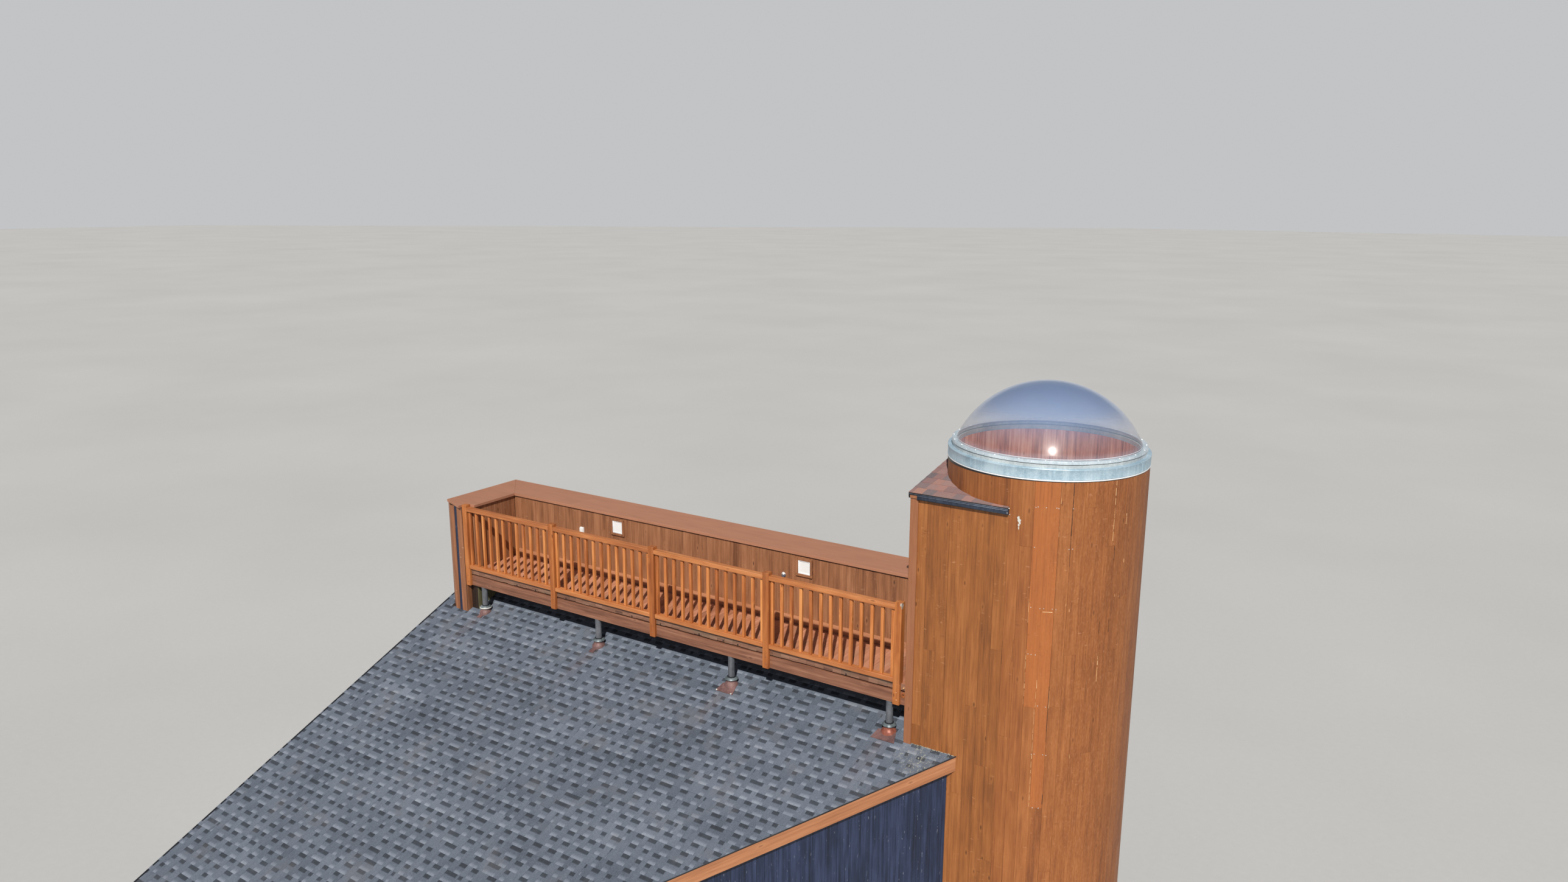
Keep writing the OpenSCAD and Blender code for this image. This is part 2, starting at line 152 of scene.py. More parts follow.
class Level:
    """A number that varies over a surface. Arithmetic on it adds Math nodes."""

    def __init__(self, recipe: "Recipe", socket: Socket) -> None:
        """Keeps the recipe and the socket that gives the number."""
        self.recipe, self.socket = recipe, socket

    def __add__(self, other: "Level | float") -> "Level":
        """Gives the sum."""
        return self.recipe.number("ADD", self, other)

    __radd__ = __add__

    def __sub__(self, other: "Level | float") -> "Level":
        """Gives the difference."""
        return self.recipe.number("SUBTRACT", self, other)

    def __rsub__(self, other: float) -> "Level":
        """Gives a plain number less this one."""
        return self.recipe.number("SUBTRACT", other, self)

    def __mul__(self, other: "Level | float") -> "Level":
        """Gives the product."""
        return self.recipe.number("MULTIPLY", self, other)

    __rmul__ = __mul__

    def __pow__(self, other: float) -> "Level":
        """Gives a power."""
        return self.recipe.number("POWER", self, other)

    def __abs__(self) -> "Level":
        """Gives the size without its sign."""
        return self.recipe.number("ABSOLUTE", self)

    def ease(self, low: float, high: float) -> "Level":
        """Rises smoothly from 0 at low to 1 at high.

        Args:
            low: The value that gives 0.
            high: The value that gives 1. It may be below low.

        Returns:
            The eased number, from 0 to 1.
        """
        start, end = sorted((low, high))
        eased = self.recipe.node(
            "ShaderNodeMapRange", {"interpolation_type": "SMOOTHSTEP"},
            {"Value": self, "From Min": start, "From Max": end})
        level = Level(self.recipe, eased.outputs["Result"])
        return level if low < high else 1.0 - level


class Recipe:
    """A material or world in the making. Every node comes from it."""

    def __init__(self, owner: bpy.types.ID, shader: str = "ShaderNodeBsdfPrincipled",
                 output: str = "ShaderNodeOutputMaterial") -> None:
        """Starts the nodes with one shader and its output.

        Args:
            owner: The new material or world.
            shader: The type of its shader.
            output: The type of its output.
        """
        owner.use_nodes = True
        self.owner = owner
        self.tree = owner.node_tree
        self.tree.nodes.clear()
        self.shader = self.node(shader)
        self.node(output, {}, {"Surface": self.shader.outputs[0]})

    def node(self, kind: str, settings: dict | None = None, values: dict | None = None
             ) -> bpy.types.Node:
        """Adds a node.

        Args:
            kind: The node's type.
            settings: Its own settings, and a ramp's stops under "stops".
            values: What goes into its sockets, by name or identifier.

        Returns:
            The new node.
        """
        made = self.tree.nodes.new(kind)
        for key, value in (settings or {}).items():
            if key == "stops":
                elements = made.color_ramp.elements
                while len(elements) < len(value):
                    elements.new(0.5)
                for element, (place, colour) in zip(elements, value):
                    element.position, element.color = place, (*colour, 1.0)
            else:
                setattr(made, key, value)
        for key, value in (values or {}).items():
            self.put(made, key, value)
        return made

    def put(self, target: bpy.types.Node, key: str, value: object) -> None:
        """Sets or links one of a node's sockets.

        Args:
            target: The node.
            key: The socket's identifier or name.
            value: A number, a tuple, a Level or an output socket.
        """
        fits = [s for s in target.inputs if s.identifier == key] or [
            s for s in target.inputs if s.name == key]
        if isinstance(value, Level):
            value = value.socket
        if isinstance(value, Socket):
            self.tree.links.new(value, fits[0])
        elif isinstance(value, tuple) and len(value) == 3 and fits[0].type == "RGBA":
            fits[0].default_value = (*value, 1.0)
        else:
            fits[0].default_value = value

    def number(self, operation: str, *values: "Level | float") -> Level:
        """Works out a number with a Math node.

        Args:
            operation: The node's operation.
            values: Its inputs in order.

        Returns:
            The number.
        """
        names = ("Value", "Value_001", "Value_002")
        made = self.node("ShaderNodeMath", {"operation": operation}, dict(zip(names, values)))
        return Level(self, made.outputs[0])

    def vector(self, operation: str, first: Socket, second: object) -> Socket:
        """Works out a point with a Vector Math node."""
        return self.node("ShaderNodeVectorMath", {"operation": operation},
                         {"Vector": first, "Vector_001": second}).outputs["Vector"]

    def place(self) -> Socket:
        """Gives the point on the object, in metres."""
        return self.node("ShaderNodeTexCoord").outputs["Object"]

    def along(self, place: Socket) -> tuple[Level, Level, Level]:
        """Splits a point into its three lengths."""
        made = self.node("ShaderNodeSeparateXYZ", {}, {"Vector": place})
        return tuple(Level(self, made.outputs[axis]) for axis in "XYZ")

    def tones(self) -> tuple[Level, Level, Level]:
        """Reads the tone that each small solid carries.

        Returns:
            Its three numbers.
        """
        made = self.node("ShaderNodeAttribute", {"attribute_name": "tone"})
        split = self.node("ShaderNodeSeparateColor", {}, {"Color": made.outputs["Color"]})
        return tuple(Level(self, split.outputs[name]) for name in ("Red", "Green", "Blue"))

    def turned(self, place: Socket, angles: tuple) -> Socket:
        """Turns a point back by a sloping piece's own turn in degrees."""
        return self.node("ShaderNodeVectorRotate", {"rotation_type": "EULER_XYZ", "invert": True}, {
            "Vector": place, "Rotation": tuple(math.radians(a) for a in angles)}).outputs["Vector"]

    def shifted(self, place: Socket, chance: Level) -> Socket:
        """Moves a point by an amount that differs from one small solid to the next."""
        joined = self.node("ShaderNodeCombineXYZ", {}, {
            "X": chance * 31.0, "Y": chance * 17.0, "Z": chance * 53.0})
        return self.vector("ADD", place, joined.outputs["Vector"])

    def noise(self, place: Socket, scale: float | Point = 1.0, detail: float = 3.0,
              rough: float = 0.55) -> Level:
        """Gives soft noise around 0.5.

        Args:
            place: Where the noise is read.
            scale: How many features stand in a metre, the same or one number for each axis.
            detail: How many finer layers it has.
            rough: How strong the finer layers are.

        Returns:
            The noise.
        """
        if isinstance(scale, tuple):
            place, scale = self.vector("MULTIPLY", place, scale), 1.0
        made = self.node("ShaderNodeTexNoise", {}, {
            "Vector": place, "Scale": scale, "Detail": detail, "Roughness": rough})
        return Level(self, made.outputs[0])

    def spots(self, place: Socket, scale: float) -> Level:
        """Gives the distance to the nearest of many scattered points."""
        made = self.node("ShaderNodeTexVoronoi", {"feature": "F1"},
                         {"Vector": place, "Scale": scale})
        return Level(self, made.outputs["Distance"])

    def ramp(self, level: Level, stops: tuple) -> Socket:
        """Turns a number into a colour, from pairs of a place and a colour."""
        return self.node("ShaderNodeValToRGB", {"stops": stops}, {"Fac": level}).outputs["Color"]

    def mix(self, share: Level | float, first: object, second: object) -> Socket:
        """Mixes two colours by the second one's share."""
        made = self.node("ShaderNodeMix", {"data_type": "RGBA", "clamp_factor": True}, {
            "Factor_Float": share, "A_Color": first, "B_Color": second})
        return [s for s in made.outputs if s.identifier == "Result_Color"][0]

    def coated(self, colour: object, coats: list) -> Socket:
        """Lays coats over a colour, each a pair of its share and its colour."""
        for share, coat in coats:
            colour = self.mix(share, colour, coat)
        return colour

    def finish(self, colour: object, roughness: Level | float, height: Level | None = None,
               depth: float = 0.002, strength: float = 0.5, **fixed: float) -> Material:
        """Connects a finish to the shader.

        Args:
            colour: The base colour.
            roughness: The roughness.
            height: The relief, where it has one.
            depth: The relief's depth in metres.
            strength: The relief's strength.
            fixed: Other sockets of the shader, with spaces written as underscores.

        Returns:
            The finished material.
        """
        self.put(self.shader, "Base Color", colour)
        self.put(self.shader, "Roughness", roughness)
        if height is not None:
            bump = self.node("ShaderNodeBump", {}, {
                "Strength": strength, "Distance": depth, "Height": height})
            self.put(self.shader, "Normal", bump.outputs["Normal"])
        for key, value in fixed.items():
            self.put(self.shader, key.replace("_", " "), value)
        return self.owner


class Grain(Enum):
    """The direction in which a board's fibres run."""

    ALONG_X = "x"
    ALONG_Y = "y"
    UPRIGHT = "z"

    def stretch(self, across: float, along: float) -> Point:
        """Gives noise's features in a metre of each axis, from those across and along."""
        return tuple(along if self.value == axis else across for axis in "xyz")


@dataclass(frozen=True)
class StainedWood:
    """Stained or painted timber. Its tone changes from board to board."""

    name: str
    dark: Colour
    middle: Colour
    light: Colour
    grain: Grain = Grain.UPRIGHT
    spread: float = 0.5
    figure: float = 0.5
    fibre: float = 0.35
    cloud: float = 0.3
    fresh: Colour = (0.6, 0.3, 0.15)
    knots: float = 0.5
    worn: float = 0.0
    worn_colour: Colour = (0.25, 0.24, 0.2)
    streaks: float = 0.35
    flecks: float = 0.0
    fleck_colour: Colour = (0.7, 0.55, 0.42)
    marks: float = 0.0
    scuffed: tuple = ()
    turn: tuple = ()
    roughness: float = 0.62

    def material(self) -> Material:
        """Builds the material.

        Returns:
            The finished material.
        """
        recipe = Recipe(bpy.data.materials.new(self.name))
        place = recipe.place()
        if self.turn:
            place = recipe.turned(place, self.turn)
        chance, second, fresh = recipe.tones()
        drawn, stretch = recipe.shifted(place, chance), self.grain.stretch
        figure = recipe.noise(drawn, stretch(34.0, 0.8), 4.0)
        fibre = recipe.noise(drawn, stretch(150.0, 5.0))
        cloud = recipe.noise(drawn, stretch(11.0, 2.0), 4.0)
        tone = ((chance - 0.5) * self.spread + (figure - 0.5) * (2.0 * self.figure)
                + (fibre - 0.5) * (1.6 * self.fibre) + (cloud - 0.5) * (2.0 * self.cloud) + 0.5)
        colour = recipe.ramp(tone, ((0.1, self.dark), (0.5, self.middle), (0.9, self.light)))
        coats = [(fresh, recipe.mix((figure - 0.5) * 1.6 + (cloud - 0.5) * 1.2 + 0.5,
                                    tuple(0.84 * c for c in self.fresh),
                                    tuple(min(1.12 * c, 1.0) for c in self.fresh)))]
        if self.streaks:
            runs = recipe.noise(drawn, stretch(58.0, 1.5), 4.0, 0.62)
            coats += [(runs.ease(0.54, 0.7) * self.streaks, self.dark),
                      (runs.ease(0.46, 0.3) * (0.6 * self.streaks), self.light)]
        if self.scuffed:
            rub = recipe.noise(drawn, stretch(64.0, 20.0), 5.0, 0.7)
            share = recipe.along(place)[0].ease(*self.scuffed)
            coats += [(rub.ease(0.5, 0.72) * share * 0.34, self.fleck_colour),
                      (rub.ease(0.5, 0.3) * share * 0.5, self.dark)]
        if self.marks:
            dents = recipe.noise(drawn, stretch(15.0, 40.0))
            wear = recipe.noise(drawn, stretch(5.0, 1.2), 2.0).ease(0.46, 0.6) * self.marks
            coats += [(dents.ease(0.64, 0.72) * wear, self.fleck_colour),
                      (dents.ease(0.35, 0.28) * wear, self.dark)]
        knots = recipe.spots(recipe.vector("MULTIPLY", drawn, stretch(6.4, 2.3)), 1.0)
        halo = knots.ease(0.2, 0.1) * knots.ease(0.06, 0.1)
        coats += [(halo * (0.5 * self.knots), self.light),
                  (knots.ease(0.085, 0.035) * self.knots, tuple(0.5 * c for c in self.dark))]
        if self.worn:
            bare = recipe.noise(place, stretch(7.0, 1.6), 5.0)
            coats.append((bare.ease(0.52, 0.7) * self.worn, self.worn_colour))
        if self.flecks:
            chips = recipe.noise(drawn, stretch(60.0, 14.0), 4.0)
            coats.append((chips.ease(0.66, 0.73) * self.flecks, self.fleck_colour))
        return recipe.finish(recipe.coated(colour, coats),
                             (fibre - 0.5) * 0.3 + (second - 0.5) * 0.1 + self.roughness,
                             figure * 0.6 + fibre * 0.4, 0.003, 0.45)


@dataclass(frozen=True)
class MineralShingle:
    """Mineral-faced roof shingles. Laminated ones have a shadow line printed in each recess."""

    name: str
    stops: tuple
    laminated: bool = False
    warm: Colour = (0.2, 0.18, 0.16)
    stains: tuple = ()
    lichen: tuple = ()
    rust: Colour = (0.12, 0.07, 0.06)
    crust: Colour = (0.38, 0.39, 0.32)

    def material(self) -> Material:
        """Builds the material.

        Returns:
            The finished material.
        """
        recipe = Recipe(bpy.data.materials.new(self.name))
        place = recipe.place()
        chance, recess, height = recipe.tones()
        granules = recipe.noise(place, 260.0, 2.0, 0.7)
        speckle = recipe.noise(place, 85.0, 3.0, 0.65)
        cloud = recipe.noise(place, 1.3, 4.0)
        streak = recipe.noise(place, (22.0, 1.6, 1.6), 4.0)
        grain = (granules - 0.5) * 0.34 + (speckle - 0.5) * 0.56 + (streak - 0.5) * 0.16
        if self.laminated:
            part = height * 1.14 + (speckle - 0.5) * 0.16
            shade = 0.74 - part.ease(0.1, 0.42) * 0.26 - part.ease(0.6, 0.72) * 0.34
            tone = (shade - 0.5) * recess + (chance - 0.5) * 0.2 + 0.5
        else:
            tone = (chance - 0.5) * 0.7 + 0.5
        colour = recipe.ramp(tone + grain + (cloud - 0.5) * 0.3, self.stops)
        coats = [(recipe.noise(place, 2.6).ease(0.5, 0.72) * 0.3, self.warm)]
        x, y, _ = recipe.along(place)
        for pipe_x, pipe_y in self.stains:
            below = pipe_y - y
            drift = abs(x - pipe_x + below * 0.12 + (streak - 0.5) * 0.16)
            mask = drift.ease(0.15, 0.02) * below.ease(0.02, 0.14) * below.ease(1.1, 0.2)
            coats.append((mask * (speckle * 0.4), self.rust))
        for spot_x, spot_y, reach, bar in self.lichen:
            away = recipe.number("SQRT", (x - spot_x) ** 2.0 + (y - spot_y) ** 2.0)
            crust = recipe.noise(place, 34.0, 5.0, 0.7)
            mask = crust.ease(bar - 0.02, bar + 0.12) * away.ease(reach, 0.3 * reach)
            coats.append((mask * 0.6, self.crust))
        return recipe.finish(recipe.coated(colour, coats), (speckle - 0.5) * 0.2 + 0.86,
                             granules * 0.5 + speckle * 0.5, 0.003, 0.6)


@dataclass(frozen=True)
class SheetMetal:
    """Folded sheet metal with dull and bright patches."""

    name: str
    dull: Colour
    bright: Colour
    metallic: float = 0.3
    roughness: float = 0.42
    rust: float = 0.0
    rust_colour: Colour = (0.18, 0.07, 0.035)

    def material(self) -> Material:
        """Builds the material.

        Returns:
            The finished material.
        """
        recipe = Recipe(bpy.data.materials.new(self.name))
        place = recipe.place()
        cloud = recipe.noise(place, 3.2, 4.0, 0.6)
        spangle = recipe.spots(place, 60.0)
        runs = recipe.noise(place, (30.0, 30.0, 2.0))
        tone = (cloud - 0.5) * 1.6 + (spangle - 0.4) * 0.3 + (runs - 0.5) * 0.7 + 0.5
        colour = recipe.ramp(tone, ((0.2, self.dull), (0.8, self.bright)))
        if self.rust:
            spots = recipe.noise(place, 26.0, 4.0, 0.7)
            colour = recipe.mix(spots.ease(0.6, 0.72) * self.rust, colour, self.rust_colour)
        return recipe.finish(colour, (cloud - 0.5) * 0.3 + self.roughness, cloud * 0.7 + runs * 0.3,
                             0.002, 0.25, Metallic=self.metallic)


@dataclass(frozen=True)
class ClearSheet:
    """Clear acrylic that turns milky and bright where it is seen edge on, a painted reflection, and
    carries a painted blue sky reflection on its upper part.
    """

    name: str
    tint: Colour = (0.48, 0.54, 0.66)
    painted_sky_reflection: Colour = (0.13, 0.24, 0.48)
    least: float = 0.03
    most: float = 0.8
    rises: tuple = (11.40, 11.82)
    aloft: float = 0.55
    rim: Colour = (0.72, 0.8, 0.92)

    def material(self) -> Material:
        """Builds the material.

        Returns:
            The finished material.
        """
        recipe = Recipe(bpy.data.materials.new(self.name))
        place = recipe.place()
        dust = recipe.noise(place, 5.0, 5.0, 0.65)
        edge = recipe.node("ShaderNodeLayerWeight", {}, {"Blend": 0.35})
        facing = Level(recipe, edge.outputs["Facing"])
        z = recipe.along(place)[2]
        # The film thickens with height, near the foot and in a band from 11.44 m to 11.66 m; that
        # band is a painted milky glow near the sun's glint.
        aloft, haze, veil = z.ease(*self.rises), z.ease(11.42, 11.35), z.ease(11.66, 11.44)
        film = (facing ** 3.4 * (self.most - self.least) + (dust - 0.5) * 0.06 + self.least
                + (aloft + haze * 0.3 + veil * 0.14) * self.aloft)
        recipe.put(recipe.shader, "Alpha", film)
        # Painted reflection: the colour turns to the blue sky colour with height and to the pale
        # rim colour where the sheet is seen edge on.
        colour = recipe.coated(self.tint, [(aloft * 0.9 + 0.1, self.painted_sky_reflection),
                                           (facing ** 5.0, self.rim)])
        return recipe.finish(colour, dust * 0.1 + 0.3, IOR=1.49, Specular_IOR_Level=0.9,
                             Coat_Weight=1.0, Coat_Roughness=0.145, Coat_IOR=1.8)


@dataclass(frozen=True)
class CastStone:
    """Concrete or a similar pale cast surface."""

    name: str
    dark: Colour = (0.3, 0.29, 0.27)
    light: Colour = (0.48, 0.47, 0.44)
    scale: float = 6.0
    roughness: float = 0.85

    def material(self) -> Material:
        """Builds the material.

        Returns:
            The finished material.
        """
        recipe = Recipe(bpy.data.materials.new(self.name))
        place = recipe.place()
        cloud = recipe.noise(place, 0.3 * self.scale, 4.0)
        sand = recipe.noise(place, 30.0 * self.scale, 2.0, 0.7)
        colour = recipe.ramp((cloud - 0.5) * 1.4 + (sand - 0.5) * 0.5 + 0.5,
                             ((0.2, self.dark), (0.8, self.light)))
        return recipe.finish(colour, (sand - 0.5) * 0.2 + self.roughness, sand, 0.002, 0.4)


class Finishes:
    """The finishes in use. Each material is made once."""

    made: dict = {}
    tower_boards = StainedWood(
        "tower_boards", (0.155, 0.046, 0.0115), (0.272, 0.088, 0.021), (0.375, 0.137, 0.038),
        fresh=(0.37, 0.112, 0.025), spread=0.22, figure=0.42, cloud=0.45, streaks=0.45,
        fleck_colour=(0.46, 0.22, 0.11), marks=0.5, scuffed=(0.1, 0.9))
    corner_boards = StainedWood(
        "corner_boards", (0.15, 0.05, 0.0125), (0.272, 0.092, 0.021), (0.37, 0.14, 0.038),
        spread=0.22, cloud=0.45, knots=0.7, streaks=0.45, fleck_colour=(0.46, 0.22, 0.1), marks=0.6)
    lining = StainedWood(
        "tower_lining", (0.36, 0.1, 0.06), (0.72, 0.28, 0.19), (0.9, 0.48, 0.36), spread=0.12,
        figure=0.7, cloud=0.9, knots=0.7, streaks=0.5)
    raw_wood = StainedWood("raw_wood", (0.45, 0.22, 0.09), (0.64, 0.36, 0.16), (0.8, 0.55, 0.3))
    grey_wood = StainedWood("grey_wood", (0.2, 0.17, 0.15), (0.36, 0.31, 0.27), (0.5, 0.44, 0.38))
    pink_upright = StainedWood(
        "corner_trim", (0.2, 0.069, 0.028), (0.28, 0.108, 0.046), (0.35, 0.148, 0.07),
        spread=0.2, figure=0.3)
    cap_paint = StainedWood(
        "cap_paint", (0.29, 0.124, 0.072), (0.385, 0.176, 0.103), (0.46, 0.22, 0.135),
        Grain.ALONG_X, spread=0.1, figure=0.12, fibre=0.2, cloud=0.25, knots=0.1, streaks=0.1,
        roughness=0.7)
    deck_planks = StainedWood(
        "deck_planks", (0.25, 0.095, 0.05), (0.42, 0.178, 0.1), (0.56, 0.265, 0.16),
        Grain.ALONG_Y, worn=0.35, worn_colour=(0.3, 0.22, 0.15))
    plank_ends = StainedWood(
        "plank_ends", (0.09, 0.04, 0.025), (0.21, 0.098, 0.06), (0.32, 0.17, 0.11),
        Grain.ALONG_X, spread=0.25, figure=0.6, worn=0.5, worn_colour=(0.15, 0.12, 0.085))
    kick_paint = StainedWood(
        "kick_paint", (0.4, 0.17, 0.085), (0.54, 0.25, 0.13), (0.66, 0.34, 0.2), Grain.ALONG_X)
    wall_boards = StainedWood(
        "parapet_boards", (0.14, 0.053, 0.022), (0.262, 0.108, 0.048), (0.36, 0.165, 0.08),
        spread=0.26, figure=0.55, cloud=0.5, knots=0.8, streaks=0.5, marks=0.5,
        fleck_colour=(0.43, 0.23, 0.13))
    # Very dark greenish boards for the end wall under the deck.
    dark_green_boards = StainedWood(
        "dark_green_boards", (0.04, 0.036, 0.016), (0.1, 0.09, 0.04), (0.18, 0.165, 0.085))
    rim_wood = StainedWood(
        "rim_wood", (0.12, 0.046, 0.026), (0.25, 0.108, 0.062), (0.38, 0.19, 0.12),
        Grain.ALONG_X, figure=0.6, spread=0.2)
    rail_upright = StainedWood(
        "rail_upright", (0.22, 0.055, 0.011), (0.38, 0.117, 0.026), (0.52, 0.19, 0.05),
        spread=0.4, fibre=0.3, cloud=0.6, knots=0.7, streaks=0.5, worn=0.12,
        worn_colour=(0.3, 0.17, 0.09))
    baluster_wood = StainedWood(
        "baluster_wood", (0.28, 0.075, 0.017), (0.5, 0.163, 0.04), (0.68, 0.28, 0.085),
        spread=0.4, fibre=0.3, cloud=0.6, knots=0.8, streaks=0.5)
    rail_level = StainedWood(
        "rail_level", (0.28, 0.082, 0.022), (0.45, 0.155, 0.046), (0.6, 0.25, 0.09),
        Grain.ALONG_X, spread=0.25, figure=0.45, fibre=0.3, cloud=0.5, streaks=0.4)
    eave_paint = StainedWood(
        "eave_paint", (0.28, 0.108, 0.046), (0.4, 0.17, 0.075), (0.5, 0.24, 0.12),
        Grain.ALONG_X, figure=0.6, spread=0.2, streaks=0.4)
    fascia_paint = replace(eave_paint, name="fascia_paint", turn=(0.0, -17.07, 47.5))
    rake_paint = replace(eave_paint, name="rake_paint", grain=Grain.ALONG_Y,
                         turn=(22.62, 0.0, 0.0))
    end_trim = StainedWood(
        "end_trim", (0.16, 0.06, 0.024), (0.29, 0.115, 0.052), (0.4, 0.18, 0.09),
        spread=0.3, streaks=0.5, marks=0.4)
    navy_boards = StainedWood(
        "navy_boards", (0.005, 0.0095, 0.026), (0.0125, 0.0215, 0.056), (0.027, 0.041, 0.095),
        spread=0.22, figure=0.9, cloud=0.7, knots=0.2, streaks=0.8, flecks=0.55,
        fleck_colour=(0.26, 0.28, 0.34), roughness=0.5)
    joist_wood = StainedWood(
        "joist_wood", (0.1, 0.07, 0.045), (0.2, 0.14, 0.09), (0.3, 0.22, 0.14), Grain.ALONG_Y)
    floor_wood = StainedWood(
        "landing_boards", (0.25, 0.14, 0.07), (0.4, 0.25, 0.14), (0.5, 0.34, 0.2), Grain.ALONG_X)
    # Near-black fill for cores behind boards, slabs under shingles, splits, notches and a slot:
    # painted shade in the gaps.
    painted_gap_shade = StainedWood(
        "painted_gap_shade", (0.012, 0.006, 0.004), (0.03, 0.014, 0.008), (0.05, 0.024, 0.014))
    brown_shingles = MineralShingle("brown_shingles", (
        (0.0, (0.11, 0.095, 0.105)), (0.25, (0.2, 0.155, 0.16)), (0.45, (0.25, 0.14, 0.13)),
        (0.62, (0.3, 0.19, 0.175)), (0.82, (0.34, 0.175, 0.145)), (1.0, (0.44, 0.26, 0.19))))
    grey_shingles = MineralShingle(
        "grey_shingles",
        ((0.05, (0.022, 0.027, 0.036)), (0.3, (0.05, 0.062, 0.083)), (0.5, (0.1, 0.122, 0.16)),
         (0.72, (0.165, 0.192, 0.24)), (1.0, (0.3, 0.33, 0.38))),
        True, (0.12, 0.115, 0.12), tuple((x, PLAN.pipe_y) for x in PLAN.pipes),
        ((-0.93, -1.26, 0.34, 0.55), (-0.78, -1.42, 0.3, 0.57)))
    concrete = CastStone("concrete")
    pale_plastic = CastStone("pale_plastic", (0.7, 0.72, 0.72), (0.86, 0.87, 0.87), 2.0, 0.4)
    caulk = CastStone("caulk", (0.5, 0.5, 0.46), (0.78, 0.78, 0.74), 5.0, 0.7)
    grit = CastStone("grit", (0.2, 0.19, 0.15), (0.46, 0.43, 0.36), 40.0, 0.9)
    studio_floor = CastStone("studio_floor", (0.46, 0.46, 0.45), (0.5, 0.5, 0.49), 0.2, 0.9)
    galvanised = SheetMetal("galvanised_band", (0.26, 0.4, 0.5), (0.52, 0.66, 0.75))
    # Pale metal for screws and a light's frame; on the band's lip it is a painted highlight.
    pale_metal_painted_highlight = SheetMetal("pale_metal_painted_highlight", (0.75, 0.8, 0.84), (0.9, 0.93, 0.95), 0.2, 0.35)
    clamp_metal = SheetMetal("clamp_metal", (0.38, 0.47, 0.53), (0.62, 0.7, 0.76), 0.2, 0.38)
    black_metal = SheetMetal("black_metal", (0.008, 0.008, 0.01), (0.02, 0.022, 0.028), 0.2, 0.4)
    grey_metal = SheetMetal("grey_metal", (0.09, 0.11, 0.15), (0.2, 0.24, 0.31), 0.3, 0.4)
    navy_metal = SheetMetal("navy_metal", (0.012, 0.017, 0.03), (0.04, 0.055, 0.09), 0.2, 0.45)
    screw_metal = SheetMetal("screw_metal", (0.5, 0.5, 0.48), (0.8, 0.8, 0.78), 0.5, 0.35, 0.3)
    pipe_paint = SheetMetal("pipe_paint", (0.06, 0.065, 0.075), (0.15, 0.16, 0.18), 0.1, 0.5, 0.2)
    copper_red = SheetMetal("copper_red", (0.2, 0.055, 0.035), (0.4, 0.14, 0.09), 0.2, 0.5, 0.4)
    aged_copper = SheetMetal("aged_copper", (0.1, 0.055, 0.055), (0.24, 0.13, 0.12), 0.15, 0.6, 0.4)
    collar_metal = SheetMetal("collar_metal", (0.07, 0.09, 0.1), (0.22, 0.26, 0.28), 0.3, 0.45, 0.1)
    rusty_nail = SheetMetal("rusty_nail", (0.1, 0.04, 0.02), (0.32, 0.17, 0.1), 0.1, 0.6, 0.5)
    curb_metal = SheetMetal("curb_metal", (0.36, 0.41, 0.44), (0.6, 0.64, 0.64), 0.2, 0.4)
    clear_sheet = ClearSheet("clear_sheet")
    clear_inside = ClearSheet("clear_inside", least=0.01, most=0.12, aloft=0.0)
    # Pale, nearly opaque ring finish: a painted highlight along the dome's foot.
    clear_edge = ClearSheet("clear_edge", (0.8, 0.88, 0.95), (0.7, 0.8, 0.92), 0.55, 0.95)

    @classmethod
    def of(cls, finish: object) -> Material:
        """Gives a finish's material, which is made at its first use."""
        if finish.name not in cls.made:
            cls.made[finish.name] = finish.material()
        return cls.made[finish.name]


